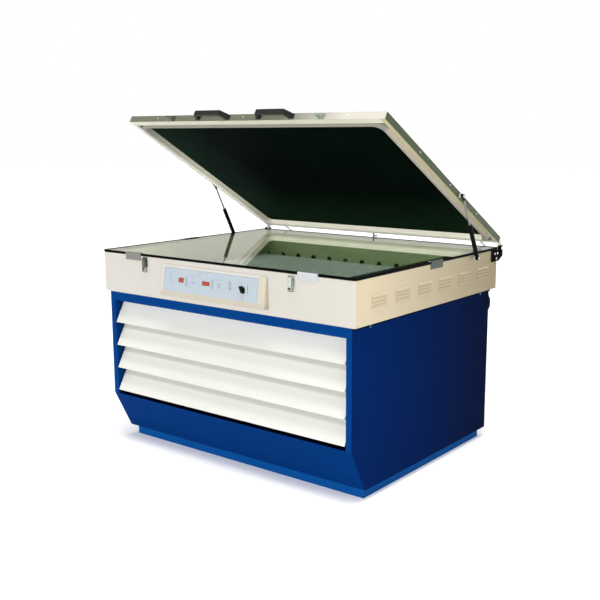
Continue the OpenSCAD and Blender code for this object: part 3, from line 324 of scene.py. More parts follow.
def powder_coat(name, colour, dark, rough=(0.34, 0.44), wear_and_highlight=None, wear_and_highlight_amount=0.25, specular=0.3,
                side=None, fade=None, proud=None, bead=None, shadow=None, inside=None):
    """Powder coat, with further colours for certain places.

    side: painted light, a warm tint on the right-hand side; fade: painted shade on the same side towards
    the rear; proud: painted highlight on what is pressed out of it;
    bead: painted shade, black along the top edge where the glass sits; shadow: strip of the cabinet's
    side under the housing;
    inside: painted shade, black on the inner face of the rear wall.
    """
    s = Surface(name, colour, rough[0])
    s.soft_edges(0.0012)
    s.mottle(1.6, dark, 0.5)
    # Painted light: a warm tint on the right-hand side
    if side is not None:
        s.mix_colour(s.beyond(RIGHT, HALF_WIDTH - 0.0015), side)
    # Painted shade: the right-hand side darkens towards the rear
    if fade is not None:
        s.mix_colour(s.both(s.along(REARWARD, -0.50, 0.50), s.beyond(RIGHT, SIDE_PLANE)), fade)
    # Painted highlight on the louvres pressed out of the side
    if proud is not None:
        s.mix_colour(s.spread(s.beyond(RIGHT, HALF_WIDTH + 0.0004), 0.0, 0.5, 0.0, 1.0), proud)
    s.mottle(90, dark, 0.20, seed=5.0)
    # Lighter edges: worn paint, and on the blue paints also a painted highlight
    if wear_and_highlight is not None:
        s.edge_wear_and_highlight(0.0016, wear_and_highlight, wear_and_highlight_amount)
    # Painted shade: black along the top edge, where the glass sits
    if bead is not None:
        s.mix_colour(s.beyond(UP, HOUSING_TOP - 0.0020), bead)
    if shadow is not None:
        s.mix_colour(s.both(s.beyond(UP, CABINET_TOP - 0.0135), s.beyond(RIGHT, SIDE_PLANE)), shadow)
    # Painted shade: the inner face of the rear wall, seen through the vent holes, is made black
    if inside is not None:
        behind = s.within(REARWARD, HALF_DEPTH - 0.073, HALF_DEPTH - 0.001)
        between = s.within(RIGHT, 0.001 - HALF_WIDTH, HALF_WIDTH - 0.001)
        below = s.beyond(DOWN, 0.0025 - HOUSING_TOP)
        s.mix_colour(s.both(s.both(behind, between), below), inside)
    return s.coat_finish(*rough, specular).mat


def brushed(name, colour, rough, stretch, tint):
    """Bare or plated metal, with soft patches of a second tint and a fine grain."""
    s = Surface(name, colour, rough, 1.0)
    s.soft_edges(0.0006)
    s.mottle(24, tint, 0.5, seed=2.0)
    s.rough_range(160, rough * 0.75, rough * 1.35, stretch=stretch)
    s.bump(s.noise(420, 3, stretch=stretch, seed=8.0), 0.10, 0.0002)
    return s.mat


def plastic(name, colour, rough, grain=900, bump=0.12, specular=0.25):
    """Moulded plastic or rubber, with a fine grain."""
    s = Surface(name, colour, rough)
    s.soft_edges(0.0010)
    s.mottle(30, tuple(v * 1.6 for v in colour[:3]) + (1.0,), 0.4, seed=4.0)
    s.rough_range(45, rough * 0.85, rough * 1.2)
    s.bump(s.noise(grain, 2), bump, 0.0002)
    s.set("Specular IOR Level", specular)
    return s.mat


cream_paint = powder_coat("cream_paint", rgb(211, 207, 199), rgb(205, 200, 190))
# The housing's paint, with painted light on its right-hand side, painted shade towards the rear of that
# side, painted highlights on the louvres and painted shade along the top edge and on the inner rear wall
cream_wall = powder_coat("cream_wall", rgb(200, 196, 188), rgb(195, 190, 181), side=rgb(207, 194, 165),
                         fade=rgb(142, 128, 91), proud=rgb(214, 201, 173), bead=rgb(8, 9, 8),
                         inside=rgb(6, 7, 6))
BLUE_ROUGH = (0.34, 0.46)
blue_paint = powder_coat("blue_paint", rgb(3, 60, 126), rgb(2, 54, 118), BLUE_ROUGH,
                         wear_and_highlight=rgb(30, 88, 156), specular=0.01)
# Painted shade: a darker copy of the blue paint for the cabinet's right-hand side, darker still towards
# the rear and under the housing
blue_painted_shade = powder_coat("blue_painted_shade", rgb(1, 36, 96), rgb(1, 30, 86), BLUE_ROUGH,
                         wear_and_highlight=rgb(20, 66, 130), specular=0.004, fade=rgb(0, 12, 46),
                         shadow=rgb(0, 4, 20))
# Painted light: a lighter copy of the blue paint for the plinth
blue_painted_lit_plinth = powder_coat("blue_painted_lit_plinth", rgb(12, 84, 156), rgb(9, 76, 146), BLUE_ROUGH,
                          wear_and_highlight=rgb(30, 88, 156), specular=0.01)
# Painted shade: a darker copy of the blue paint for the toe panel, which faces down
blue_painted_shade_toe = powder_coat("blue_painted_shade_toe", rgb(1, 48, 108), rgb(1, 42, 101), BLUE_ROUGH,
                       wear_and_highlight=rgb(20, 66, 130), specular=0.004)
white_paint = powder_coat("white_paint", rgb(226, 226, 221), rgb(221, 220, 214))
black_paint = powder_coat("black_paint", rgb(7, 8, 8), rgb(11, 12, 11), (0.28, 0.42),
                          wear_and_highlight=rgb(40, 42, 42), wear_and_highlight_amount=0.3, specular=0.05)
galvanised = brushed("galvanised", (0.60, 0.61, 0.62, 1), 0.42, (1, 1, 1), (0.44, 0.46, 0.48, 1))
stainless = brushed("stainless", (0.52, 0.52, 0.53, 1), 0.30, (0.1, 1, 1), (0.36, 0.35, 0.34, 1))
zinc_plate = brushed("zinc_plate", (0.66, 0.67, 0.69, 1), 0.34, (1, 1, 0.25), (0.50, 0.51, 0.52, 1))
chrome_rod = brushed("chrome_rod", (0.82, 0.82, 0.83, 1), 0.12, (1, 1, 1), (0.72, 0.72, 0.74, 1))
dull_steel = brushed("dull_steel", (0.10, 0.12, 0.14, 1), 0.45, (1, 1, 1), (0.05, 0.06, 0.07, 1))
dull_brass = brushed("dull_brass", (0.22, 0.22, 0.16, 1), 0.42, (1, 1, 1), (0.12, 0.12, 0.08, 1))
black_plastic = plastic("black_plastic", rgb(10, 14, 11), 0.42, specular=0.08)
grey_plastic = plastic("grey_plastic", rgb(152, 166, 156), 0.40)
gasket_rubber = plastic("gasket_rubber", rgb(5, 7, 6), 0.50, 500, 0.2, specular=0.02)
black_rubber = plastic("black_rubber", rgb(18, 19, 18), 0.48, 500, 0.2)


def make_glass():
    """Clear glass, which lets light through instead of casting a full shadow."""
    s = Surface("clear_glass", (0.95, 0.985, 0.965, 1), 0.015)
    s.set("Transmission Weight", 1.0)
    s.set("IOR", 1.5)
    s.rough_range(6, 0.0, 0.02)
    clear = s.add("ShaderNodeBsdfTransparent")
    clear.inputs["Color"].default_value = (0.90, 0.97, 0.93, 1)
    path = s.add("ShaderNodeLightPath")
    mix = s.add("ShaderNodeMixShader")
    s.links.new(path.outputs["Is Shadow Ray"], mix.inputs["Fac"])
    s.links.new(s.bsdf.outputs["BSDF"], mix.inputs[1])
    s.links.new(clear.outputs["BSDF"], mix.inputs[2])
    s.links.new(mix.outputs["Shader"], s.out.inputs["Surface"])
    return s.mat


clear_glass = make_glass()


def make_reflector():
    """Green reflector paint, black on the flange that lies under the glass as painted shade."""
    s = Surface("reflector_paint", rgb(184, 195, 146), 0.45)
    s.soft_edges(0.001)
    s.mottle(5, rgb(164, 176, 126), 0.5)
    # Painted shade: the flange under the glass is made black
    s.mix_colour(s.beyond(UP, HOUSING_TOP - 0.0035), rgb(5, 7, 6))
    s.rough_range(14, 0.38, 0.55)
    s.bump(s.noise(300, 2), 0.08, 0.0003)
    return s.mat


def make_tube_glass():
    """Frosted tube glass, with pale caps at both ends and a faint glow of painted light."""
    s = Surface("tube_glass", rgb(234, 247, 240), 0.22)
    s.mottle(6, rgb(218, 234, 226), 0.5)
    # Painted light: a faint glow that brightens the tube bed
    s.set("Emission Color", (0.78, 1.0, 0.80, 1))
    s.set("Emission Strength", 0.20)
    s.set("Coat Weight", 0.4)
    s.set("Coat Roughness", 0.08)
    cap_length = 0.015
    for side in (RIGHT, LEFT):
        s.mix_colour(s.beyond(side, far_end("uv_tubes", ACROSS) - cap_length), rgb(206, 214, 200))
    return s.mat


reflector = make_reflector()
tube_glass = make_tube_glass()


def make_overlay():
    """Pale blue film of the console's face."""
    s = Surface("overlay_film", rgb(172, 183, 193), 0.32)
    s.mottle(9, rgb(166, 177, 188), 0.5)
    s.rough_range(30, 0.26, 0.38)
    s.bump(s.noise(900, 2), 0.06, 0.0001)
    return s.mat


def make_display():
    """Orange-red display windows, and the pale lenses of the lamps beside them."""
    s = Surface("display_red", rgb(140, 44, 34), 0.22)
    s.mottle(220, rgb(184, 84, 62), 0.7)
    s.set("Coat Weight", 0.3)
    lens = s.beyond(CONSOLE_OUT, CONSOLE_TOP.dot(Vector(CONSOLE_OUT)) - 0.0001)
    s.mix_colour(lens, rgb(118, 122, 134))
    return s.mat


def make_lid_paint():
    """Cream paint, browner on the right-hand strip as painted shade, and grey-green along the outer
    edge, where painted light pales the front edge towards the right and painted shade darkens the right
    side.
    """
    s = Surface("lid_paint", rgb(208, 204, 189), 0.38)
    s.soft_edges(0.0012)
    s.mottle(1.6, rgb(202, 197, 181), 0.5)
    s.mottle(90, rgb(202, 197, 181), 0.20, seed=5.0)
    # Painted shade: the right-hand strip is browner
    s.mix_colour(s.beyond(RIGHT, LID_HALF - STRIP_SIDE - 0.0005), rgb(180, 171, 138))
    front = s.beyond(LID_FORWARD, lid_reach(0.0005 - LID_LENGTH))
    s.mix_colour(front, rgb(106, 108, 90))
    # Painted light: the front edge pales towards the right
    s.mix_colour(s.both(s.along(RIGHT, 0.20, 0.52), front), rgb(208, 204, 192))
    # Painted shade: the right side of the edge is darker than the left
    s.mix_colour(s.beyond(RIGHT, LID_HALF - 0.0005), rgb(66, 78, 55))
    s.mix_colour(s.beyond(LEFT, LID_HALF - 0.0005), rgb(92, 96, 74))
    return s.coat_finish(0.32, 0.44).mat


def make_clip_metal():
    """Zinc plate, darker on the left and grey-green on the right-hand clip."""
    s = Surface("clip_zinc", (0.50, 0.52, 0.54, 1), 0.36, 1.0)
    s.soft_edges(0.0006)
    s.mottle(24, (0.42, 0.44, 0.46, 1), 0.5, seed=2.0)
    s.mix_colour(s.beyond(LEFT, 0.0), (0.22, 0.22, 0.21, 1))
    s.mix_colour(s.beyond(RIGHT, HALF_WIDTH - 0.001), (0.08, 0.105, 0.09, 1))
    s.rough_range(160, 0.26, 0.46, stretch=(1, 1, 0.25))
    s.bump(s.noise(420, 3, stretch=(1, 1, 0.25), seed=8.0), 0.10, 0.0002)
    return s.mat


def make_latch_metal():
    """Passivated steel of the latches: dark on the left one, with dark tips."""
    s = Surface("latch_steel", (0.54, 0.58, 0.54, 1), 0.38, 1.0)
    s.soft_edges(0.0006)
    s.mottle(60, (0.28, 0.31, 0.28, 1), 0.6, seed=2.0)
    s.mix_colour(s.beyond(LEFT, 0.0), (0.12, 0.14, 0.11, 1))
    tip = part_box("latch_lever_right")[0][2] + 0.009
    s.mix_colour(s.beyond(DOWN, -tip), (0.06, 0.08, 0.06, 1))
    s.rough_range(160, 0.30, 0.48)
    s.bump(s.noise(420, 3, seed=8.0), 0.10, 0.0002)
    return s.mat


def make_rod_metal():
    """Rod of a gas spring, with a black joint and its bright stud at the upper end."""
    s = Surface("rod_steel", (0.26, 0.27, 0.25, 1), 0.16, 1.0)
    s.soft_edges(0.0006)
    s.mottle(24, (0.19, 0.20, 0.18, 1), 0.5, seed=2.0)
    s.rough_range(160, 0.12, 0.24)
    low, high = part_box("spring_rod_right")
    joint_height = 0.032
    s.mix_colour(s.beyond(UP, high[2] - joint_height), (0.02, 0.02, 0.02, 1))
    for side in (RIGHT, LEFT):
        s.mix_colour(s.within(side, low[0] - 0.001, low[0] + 0.009), (0.66, 0.66, 0.64, 1))
        s.mix_colour(s.within(side, high[0] - 0.002, high[0] + 0.001), (0.50, 0.50, 0.48, 1))
    return s.mat


def make_hinge_paint():
    """Black paint of the hinge plates, with the bright heads of their pivot pins."""
    s = Surface("hinge_paint", rgb(3, 4, 4), 0.55)
    s.soft_edges(0.0012)
    s.mottle(1.6, rgb(6, 7, 6), 0.5)
    for side in (RIGHT, LEFT):
        s.mix_colour(s.beyond(side, far_end("hinge_plates", ACROSS) - 0.0005), rgb(236, 236, 230))
    return s.coat_finish(0.50, 0.62, 0.01).mat


def make_slat_paint(node, gap_height):
    """White paint of a drawer front, lighter towards its top as painted light, with a painted shadow
    line behind the slat above it.
    """
    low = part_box(node)[0][2]
    s = Surface(node + "_paint", rgb(219, 219, 213), 0.38)
    s.soft_edges(0.0012)
    # Painted light: lighter towards the top of the slat
    s.mix_colour(s.along(UP, low, low + SLAT_PITCH), rgb(243, 243, 237))
    s.mottle(1.6, rgb(227, 226, 220), 0.25)
    # Painted shadow: a grey line just below the edge of the slat above
    if gap_height:
        line = low + gap_height
        s.mix_colour(s.along(UP, line - 0.014, line - 0.006), rgb(204, 204, 195))
    return s.coat_finish(0.34, 0.44).mat


def make_bezel_paint():
    """Cream paint of the console, browner as painted shade on its lower rim and to the right of the
    overlay.
    """
    s = Surface("bezel_paint", rgb(204, 200, 192), 0.38)
    s.soft_edges(0.0012)
    s.mottle(1.6, rgb(199, 194, 184), 0.5)
    # Painted shade: browner to the right of the overlay
    s.mix_colour(s.beyond(RIGHT, far_end("console_overlay", ACROSS) + 0.0005), rgb(196, 189, 170))
    # Painted shade: browner on the lower rim
    rim = on_console(0, -0.1095, 0).dot(Vector(CONSOLE_DOWN))
    s.mix_colour(s.beyond(CONSOLE_DOWN, rim), rgb(186, 179, 163))
    return s.coat_finish(0.34, 0.44).mat


# The material of each slot, and the pieces that look different from their slot
by_slot = {
    "blue_paint": blue_paint,
    "cream_paint": cream_paint,
    "white_paint": white_paint,
    "black_paint": black_paint,
    "reflector_paint": reflector,
    "galvanised": galvanised,
    "stainless": stainless,
    "zinc_plate": zinc_plate,
    "chrome_rod": chrome_rod,
    "brass_fitting": dull_brass,
    "clear_glass": clear_glass,
    "tube_glass": tube_glass,
    "black_rubber": black_rubber,
    "cream_rubber": cream_paint,
    "black_plastic": black_plastic,
    "grey_plastic": grey_plastic,
    "overlay_film": make_overlay(),
}
own = {
    "cabinet_side_right": blue_painted_shade,
    "housing_shell": cream_wall,
    "lid_frame": make_lid_paint(),
    "glass_clips": make_clip_metal(),
    "display_board": make_display(),
    "console_bezel": make_bezel_paint(),
    "cabinet_base": blue_painted_lit_plinth,
    "toe_panel": blue_painted_shade_toe,
    "glass_gasket": gasket_rubber,
    "lid_handles": plastic("handle_plastic", rgb(36, 39, 35), 0.42, specular=0.12),
    "joining_bolts": dull_steel,
    "hinge_plates": make_hinge_paint(),
    "lamp_holders": plastic("holder_plastic", rgb(150, 160, 142), 0.45),
}
for slat, gap_height in ((1, 0.0), (2, 0.084), (3, 0.082), (4, 0.080)):
    own[f"drawer_front_{slat}"] = make_slat_paint(f"drawer_front_{slat}", gap_height)
own.update(dict.fromkeys(["latch_bases", "latch_lever_left", "latch_lever_right", "latch_hook_left",
                          "latch_hook_right", "latch_strikes"], make_latch_metal()))
own.update(dict.fromkeys(["spring_rod_left", "spring_rod_right"], make_rod_metal()))
slot_of = {s["node"]: s["material_slot"] for s in frame["record"]["subparts"]}
for name, obj in nodes.items():
    obj.data.materials.clear()
    obj.data.materials.append(own[name] if name in own else by_slot[slot_of[name]])


def smooth(obj, angle=35.0):
    """Shades round faces smooth and keeps sharper edges crisp."""
    for face in obj.data.polygons:
        face.use_smooth = True
    obj.data.set_sharp_from_angle(angle=math.radians(angle))


for obj in nodes.values():
    smooth(obj)


def make_object(name, vertices, faces, material, body):
    """A new piece that rides with a body of the CAD."""
    mesh = bpy.data.meshes.new(name)
    mesh.from_pydata([tuple(v) for v in vertices], [], faces)
    mesh.validate()
    mesh.update()
    fix = bmesh.new()
    fix.from_mesh(mesh)
    bmesh.ops.recalc_face_normals(fix, faces=fix.faces)
    fix.to_mesh(mesh)
    fix.free()
    obj = bpy.data.objects.new(name, mesh)
    scene.collection.objects.link(obj)
    mesh.materials.append(material)
    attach(obj, body)
    return obj


def softened(node, width, segments=2):
    """A copy of a CAD node with really rounded edges, which stands for it."""
    source = nodes[node]
    mesh = source.data.copy()
    obj = bpy.data.objects.new(node + "_rounded", mesh)
    scene.collection.objects.link(obj)
    work = bmesh.new()
    work.from_mesh(mesh)
    bmesh.ops.remove_doubles(work, verts=work.verts, dist=0.00001)
    bmesh.ops.dissolve_limit(work, angle_limit=math.radians(0.5), verts=work.verts, edges=work.edges)
    work.to_mesh(mesh)
    work.free()
    bevel = obj.modifiers.new("edge", "BEVEL")
    bevel.width = width
    bevel.segments = segments
    bevel.limit_method = "ANGLE"
    bevel.angle_limit = math.radians(38)
    bevel.harden_normals = False
    smooth(obj, 50)
    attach(obj, source["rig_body"])
    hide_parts(node)


def stack_faces(base, rings, steps):
    """Faces that join rings of points, the first of them starting at a vertex, and close both ends."""
    faces = []
    for k in range(rings - 1):
        p, q = base + k * steps, base + (k + 1) * steps
        for i in range(steps):
            j = (i + 1) % steps
            faces.append((p + i, p + j, q + j, q + i))
    faces.append(tuple(base + i for i in range(steps)))
    faces.append(tuple(base + (rings - 1) * steps + i for i in reversed(range(steps))))
    return faces


# Rubber seal of the lid: a round-backed bead on a flat foot, swept round the frame's opening
def rounded_loop(half_x, y_front, y_rear, radius, corner_steps=10, edge_steps=14):
    """Arc centres, outward directions and the radius round a rectangle with round corners."""
    corners = [
        (half_x - radius, y_rear - radius, 0.0),
        (-half_x + radius, y_rear - radius, 90.0),
        (-half_x + radius, y_front + radius, 180.0),
        (half_x - radius, y_front + radius, 270.0),
    ]
    out = []
    for k, (cx, cy, start) in enumerate(corners):
        for i in range(corner_steps + 1):
            a = math.radians(start + 90.0 * i / corner_steps)
            out.append((cx, cy, math.cos(a), math.sin(a), radius))
        nx, ny = corners[(k + 1) % 4][:2]
        a = math.radians(start + 90.0)
        for i in range(1, edge_steps):
            t = i / edge_steps
            out.append((cx + (nx - cx) * t, cy + (ny - cy) * t, math.cos(a), math.sin(a), radius))
    return out


def make_seal():
    """The bead, narrower along its front side than along the others, painted darker towards the front
    and browner on the right as painted shade, with a faint glow of painted light.
    """
    loop = rounded_loop(LID_HALF - STRIP_SIDE, -LID_LENGTH + STRIP_FRONT, -STRIP_REAR, SEAL_OUTER_R)
    profile = [
        (0.0000, 0.0118), (0.0000, 0.0006), (0.0012, -0.0004), (0.0050, -0.0010), (0.0062, -0.0022),
        (0.0080, -0.0052), (0.0110, -0.0074), (0.0150, -0.0084), (0.0190, -0.0085), (0.0225, -0.0078),
        (0.0260, -0.0060), (0.0290, -0.0030), (0.0310, 0.0006), (0.0325, 0.0030), (0.0350, 0.0050),
        (0.0380, 0.0072), (0.0396, 0.0092), (0.0398, 0.0118),
    ]
    vertices, faces = [], []
    for cx, cy, dx, dy, radius in loop:
        for inset, height in profile:
            r = radius - inset * (1 - FRONT_NARROWING * max(0.0, -dy) ** 3)
            vertices.append(on_lid(cx + dx * r, cy + dy * r, height))
    n, m = len(loop), len(profile)
    for i in range(n):
        for j in range(m):
            a, b = i * m + j, i * m + (j + 1) % m
            c, d = ((i + 1) % n) * m + (j + 1) % m, ((i + 1) % n) * m + j
            faces.append((a, b, c, d))
    s = Surface("cream_rubber", rgb(243, 238, 222), 0.50)
    s.mottle(7, rgb(230, 223, 204), 0.5)
    # Painted shade: the seal darkens towards the front
    s.mix_colour(s.along(LID_FORWARD, lid_reach(-0.55), lid_reach(-1.03)), rgb(116, 113, 102))
    # Painted shade: browner along the right-hand side
    right = s.beyond(RIGHT, LID_HALF - STRIP_SIDE - SEAL_WIDTH - 0.002)
    behind = s.beyond(-LID_FORWARD, -lid_reach(-1.035))
    s.mix_colour(s.both(right, behind), rgb(152, 143, 129))
    s.rough_range(25, 0.42, 0.60)
    s.bump(s.noise(260, 3), 0.14, 0.0003)
    # Painted light: a faint glow of its own
    s.set("Emission Color", (1.0, 0.98, 0.88, 1))
    s.set("Emission Strength", 0.06)
    obj = make_object("seal", vertices, faces, s.mat, "lid")
    smooth(obj, 60)
    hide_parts("seal_bead")


# Rubber blanket: a stretched sheet that sags a little, with shallow ripples where it sags, and a painted
# green reflection towards its left and rear
def make_blanket():
    half_x, front, rear = LID_HALF - 0.005, -LID_LENGTH + 0.005, -0.005
    sag, ripple = 0.0052, 0.0014
    cols, rows = 96, 76
    vertices, faces = [], []

    def drop(x, y):
        """How far the sheet hangs below its held edges, near which it stays flat."""
        u = max(0.0, 1 - abs(x) / (half_x - 0.055))
        v = max(0.0, min(1.0, (y - front - 0.07) / (rear - front - 0.13)))
        belly = (1 - (1 - min(1.0, u * 1.6)) ** 2) * math.sin(math.pi * v)
        broad = noise.noise(Vector((x * 3.1, y * 2.7, 0.4)))
        small = noise.noise(Vector((x * 7.7, y * 6.9, 3.1)))
        return belly * (sag + ripple * (broad + 0.5 * small))

    for side in (0, 1):
        for j in range(rows + 1):
            for i in range(cols + 1):
                x = -half_x + 2 * half_x * i / cols
                y = front + (rear - front) * j / rows
                z = BLANKET_RISE + side * BLANKET_T - drop(x, y)
                vertices.append(on_lid(x, y, z))
    step = cols + 1
    base = step * (rows + 1)
    for j in range(rows):
        for i in range(cols):
            a = j * step + i
            faces.append((a, a + step, a + step + 1, a + 1))
            faces.append((base + a, base + a + 1, base + a + step + 1, base + a + step))
    for i in range(cols):
        faces.append((i, i + 1, base + i + 1, base + i))
        b = rows * step + i
        faces.append((b + 1, b, base + b, base + b + 1))
    for j in range(rows):
        a = j * step
        faces.append((a + step, a, base + a, base + a + step))
        b = j * step + cols
        faces.append((b, b + step, base + b + step, base + b))
    s = Surface("blanket_rubber", rgb(4, 11, 8), 0.46)
    s.mottle(3.5, rgb(3, 9, 7), 0.8)
    s.mottle(60, rgb(8, 17, 12), 0.25, seed=6.0)
    # Painted reflection: a green sheen towards the left and towards the rear
    s.mix_colour(s.along(LEFT, 0.30, 0.66), rgb(17, 34, 26))
    s.mix_colour(s.along(LID_FORWARD, lid_reach(-0.45), lid_reach(-0.05)), rgb(19, 40, 24))
    s.rough_range(5, 0.40, 0.56)
    s.bump(s.noise(700, 2), 0.16, 0.0003)
    s.set("Specular IOR Level", 0.002)
    obj = make_object("vacuum_blanket", vertices, faces, s.mat, "lid")
    smooth(obj, 60)
    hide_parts("blanket")


make_seal()
make_blanket()
softened("lid_handles", 0.0030, 3)
softened("selector_knob", 0.0012)


# Link cable behind the right rear corner, with its two ribbed glands
def make_cable():
    x = CABLE_X
    route = [
        (-14, -18), (-14, -24), (-13.5, -30), (-11, -38), (-8.5, -42.5), (-4, -48),
        (1, -54.5), (3.5, -59.5), (5.5, -66.5), (6, -72.5), (5.5, -78.5), (4, -86),
        (2, -91.5), (-1, -97), (-6, -102), (-11, -104.5), (-15.5, -105.5), (-19, -105.5),
    ]
    route = [(HALF_DEPTH + back / 1000, CABINET_TOP + down / 1000) for back, down in route]
    curve = bpy.data.curves.new("link_cord", "CURVE")
    curve.dimensions = "3D"
    curve.bevel_depth = CABLE_RADIUS
    curve.bevel_resolution = 6
    curve.resolution_u = 6
    spline = curve.splines.new("BEZIER")
    spline.bezier_points.add(len(route) - 1)
    for p, (y, z) in zip(spline.bezier_points, route):
        p.co = (x, y, z)
        p.handle_left_type = p.handle_right_type = "AUTO"
    obj = bpy.data.objects.new("link_cord", curve)
    scene.collection.objects.link(obj)
    curve.materials.append(black_rubber)
    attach(obj, "unit")
    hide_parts("link_cable")
    foot = [(0.0, GLAND_RADIUS), (0.004, GLAND_RADIUS), (0.0045, 0.0098), (0.008, 0.0098)]
    long_nut = [(0.0085, 0.0108), (0.0145, 0.0108), (0.0165, 0.0088), (0.018, 0.0070), (0.018, 0.0046)]
    short_nut = [(0.0085, 0.0092), (0.0105, 0.0084), (0.012, 0.0066), (0.012, 0.0046)]
    make_gland("gland_top", (x, HALF_DEPTH - 0.014, CABINET_TOP), Vector((0, 0, -1)), foot + long_nut)
    make_gland("gland_low", (x, CABINET_BACK, CABINET_TOP - 0.1055), Vector((0, 1, 0)), foot + short_nut)


def make_gland(name, at, axis, rings, steps=36):
    """A ribbed cable gland, given by the distance along its axis and the radius of each ring."""
    side = Vector((1, 0, 0))
    other = axis.cross(side)
    vertices = []
    for d, r in rings:
        for i in range(steps):
            a = 2 * math.pi * i / steps
            ribbed = r * (0.965 if i % 3 == 0 and 0.0082 < d < 0.0150 else 1.0)
            outward = side * ribbed * math.cos(a) + other * ribbed * math.sin(a)
            vertices.append(Vector(at) + axis * d + outward)
    faces = stack_faces(0, len(rings), steps)
    gland = make_object(name, vertices, faces, black_plastic, "unit")
    smooth(gland, 40)


make_cable()


# Printed marks on the console's overlay: scales, dividing lines and small signs, and strips of painted
# shade beside the knob and along the overlay's border
def make_marks(name, colour, marks):
    """Thin plates on the overlay, each given by its middle, width and height in millimetres."""
    underside, face = 0.02, 0.14
    vertices, faces = [], []
    for x, y, w, h in marks:
        a = len(vertices)
        for z in (underside, face):
            for dx, dy in ((-w, -h), (w, -h), (w, h), (-w, h)):
                vertices.append(on_console((x + dx / 2) / 1000, (y + dy / 2) / 1000, z / 1000))
        faces.append((a, a + 3, a + 2, a + 1))
        faces.append((a + 4, a + 5, a + 6, a + 7))
        for i in range(4):
            j = (i + 1) % 4
            faces.append((a + i, a + j, a + 4 + j, a + 4 + i))
    s = Surface(name + "_ink", colour, 0.5)
    s.mottle(40, tuple(v * 0.85 for v in colour[:3]) + (1.0,), 0.5)
    s.rough_range(60, 0.42, 0.6)
    s.set("Specular IOR Level", 0.2)
    make_object(name, vertices, faces, s.mat, "unit")


make_marks("marks_grey", rgb(104, 116, 134), [
    (-159, -44, 6, 4), (-159, -52.5, 6, 4), (-159, -61, 6, 4), (-159, -69.5, 6, 4), (-159, -78, 6, 4),
    (-119, -58, 7, 2.4), (-107, -58, 6, 2.4), (-119, -65.5, 7, 2.4), (-107, -65, 6, 2.4),
    (-127.7, -38.5, 4, 4), (-113, -39, 4, 4),
])
make_marks("marks_green", rgb(112, 128, 120), [
    (-10, -42, 5, 3.6), (-10, -50.5, 5, 3.6), (-10, -59, 5, 3.6), (-10, -67.5, 5, 3.6),
    (-10, -76, 5, 3.6), (88.7, -38, 13, 2.4),
])
make_marks("marks_red", rgb(178, 104, 118), [
    (-131, -58, 5, 2.4), (-131, -65.5, 5, 2.4), (20, -38, 4, 4), (42, -38, 4, 4),
])
# Painted shade beside the selector knob's plate
make_marks("dial_painted_shade", rgb(86, 88, 88), [(185.6, -60, 3.2, 32)])
make_marks("dial_gap", rgb(224, 226, 222), [(181, -58, 4.4, 30), (166, -43.5, 16, 3)])
# Printed lines round the groups, and painted shade along the top, left and right borders of the overlay
make_marks("group_lines_and_border_shade", rgb(156, 166, 178), [
    (-118, -84, 84, 1), (10, -85, 110, 1), (-118, -30, 84, 1), (10, -31, 110, 1), (140, -58, 1, 52),
    (-26, -10.5, 530, 2.4), (-291, -59, 2.4, 96), (239.5, -59, 2.4, 96),
])


# Bright rivets along the lid's edge
def make_rivets():
    on_sides = ((-0.826, 0.0165), (-0.546, 0.0175), (-0.271, 0.018))
    spots = [((LID_HALF, y, z), (1, 0)) for y, z in on_sides]
    spots += [((-LID_HALF, y, z), (-1, 0)) for y, z in on_sides]
    spots += [((x, -LID_LENGTH, 0.0175), (0, -1)) for x in (-0.52, -0.007, 0.52)]
    rings = [(0.0, 0.0034), (0.0007, 0.0032), (0.0013, 0.0024), (0.0017, 0.0012)]
    steps = 14
    vertices, faces = [], []
    for (x, y, z), (nx, ny) in spots:
        base = len(vertices)
        for out, r in rings:
            for i in range(steps):
                a = 2 * math.pi * i / steps
                side, rise = r * math.cos(a), r * math.sin(a)
                vertices.append(on_lid(x + nx * out - ny * side, y + ny * out + nx * side, z + rise))
        faces += stack_faces(base, len(rings), steps)
    obj = make_object("lid_rivets", vertices, faces, chrome_rod, "lid")
    smooth(obj, 40)


make_rivets()


# Floor, backdrop and light
def make_stage():
    half = 30
    corners = [(-half, -half, 0), (half, -half, 0), (half, half, 0), (-half, half, 0)]
    mesh = bpy.data.meshes.new("floor")
    mesh.from_pydata(corners, [], [(0, 1, 2, 3)])
    floor = bpy.data.objects.new("floor", mesh)
    scene.collection.objects.link(floor)
    s = Surface("floor_paper", (0.95, 0.95, 0.95, 1), 0.8)
    s.mottle(0.6, (0.94, 0.94, 0.94, 1), 0.5)
    s.set("Specular IOR Level", 0.1)
    s.set("Emission Color", (1.0, 1.0, 1.0, 1))
    s.set("Emission Strength", 0.28)
    mesh.materials.append(s.mat)


def area_light(name, location, target, size, power, colour):
    """A rectangular light that shines from a place towards a target."""
    data = bpy.data.lights.new(name, "AREA")
    data.shape = "RECTANGLE"
    data.size, data.size_y = size
    data.energy = power
    data.color = colour
    obj = bpy.data.objects.new(name, data)
    scene.collection.objects.link(obj)
    obj.location = location
    obj.rotation_mode = "QUATERNION"
    obj.rotation_quaternion = (Vector(target) - Vector(location)).to_track_quat("-Z", "Y")
    return obj


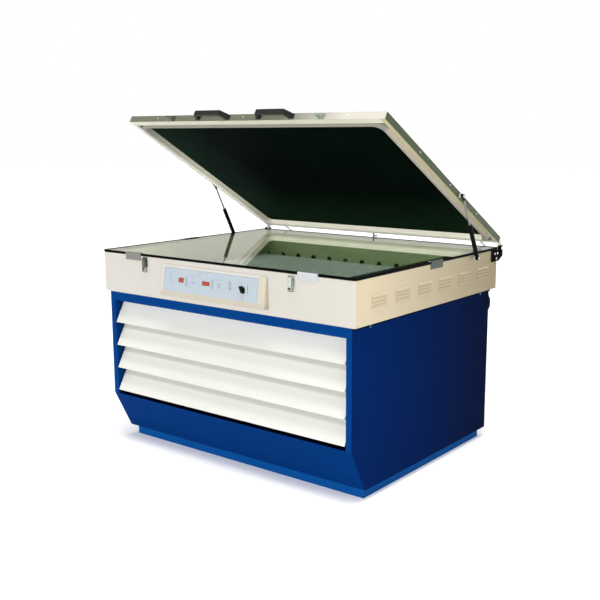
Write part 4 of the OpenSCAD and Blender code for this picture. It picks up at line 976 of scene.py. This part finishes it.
def sun_light(name, towards, spread, strength):
    """A distant soft light that comes from a direction, with its spread in degrees."""
    data = bpy.data.lights.new(name, "SUN")
    data.angle = math.radians(spread)
    data.energy = strength
    obj = bpy.data.objects.new(name, data)
    scene.collection.objects.link(obj)
    obj.rotation_mode = "QUATERNION"
    obj.rotation_quaternion = Vector(towards).to_track_quat("Z", "Y")


def make_lights():
    """A white studio: bright backdrop, soft key from the front left, top light, weak warm fill."""
    world = bpy.data.worlds.new("studio")
    scene.world = world
    world.use_nodes = True
    tree = world.node_tree
    back = tree.nodes["Background"]
    back.inputs["Color"].default_value = (1.0, 1.0, 1.0, 1)
    back.inputs["Strength"].default_value = 1.0
    soft = tree.nodes.new("ShaderNodeBackground")
    soft.inputs["Color"].default_value = (0.96, 0.98, 1.0, 1)
    soft.inputs["Strength"].default_value = 0.26
    room = tree.nodes.new("ShaderNodeBackground")
    room.inputs["Color"].default_value = (1.0, 0.97, 0.88, 1)
    room.inputs["Strength"].default_value = 0.66
    path = tree.nodes.new("ShaderNodeLightPath")
    inner = tree.nodes.new("ShaderNodeMixShader")
    mix = tree.nodes.new("ShaderNodeMixShader")
    tree.links.new(path.outputs["Is Glossy Ray"], inner.inputs["Fac"])
    tree.links.new(soft.outputs["Background"], inner.inputs[1])
    tree.links.new(room.outputs["Background"], inner.inputs[2])
    tree.links.new(path.outputs["Is Camera Ray"], mix.inputs["Fac"])
    tree.links.new(inner.outputs["Shader"], mix.inputs[1])
    tree.links.new(back.outputs["Background"], mix.inputs[2])
    tree.links.new(mix.outputs["Shader"], tree.nodes["World Output"].inputs["Surface"])
    sun_light("key", (-0.25, -0.95, 0.17), 18, 1.45)
    sun_light("top", (0.10, -0.12, 1.0), 30, 2.4)
    fill = area_light("fill", (2.3, -0.8, 1.2), (0.7, -0.4, 0.80), (0.8, 0.6), 12, (1.0, 0.92, 0.78))
    fill.visible_camera = False
    fill.visible_glossy = False
    fill.visible_transmission = False


scene.view_settings.view_transform = "Standard"
scene.view_settings.look = "None"
make_stage()
make_lights()
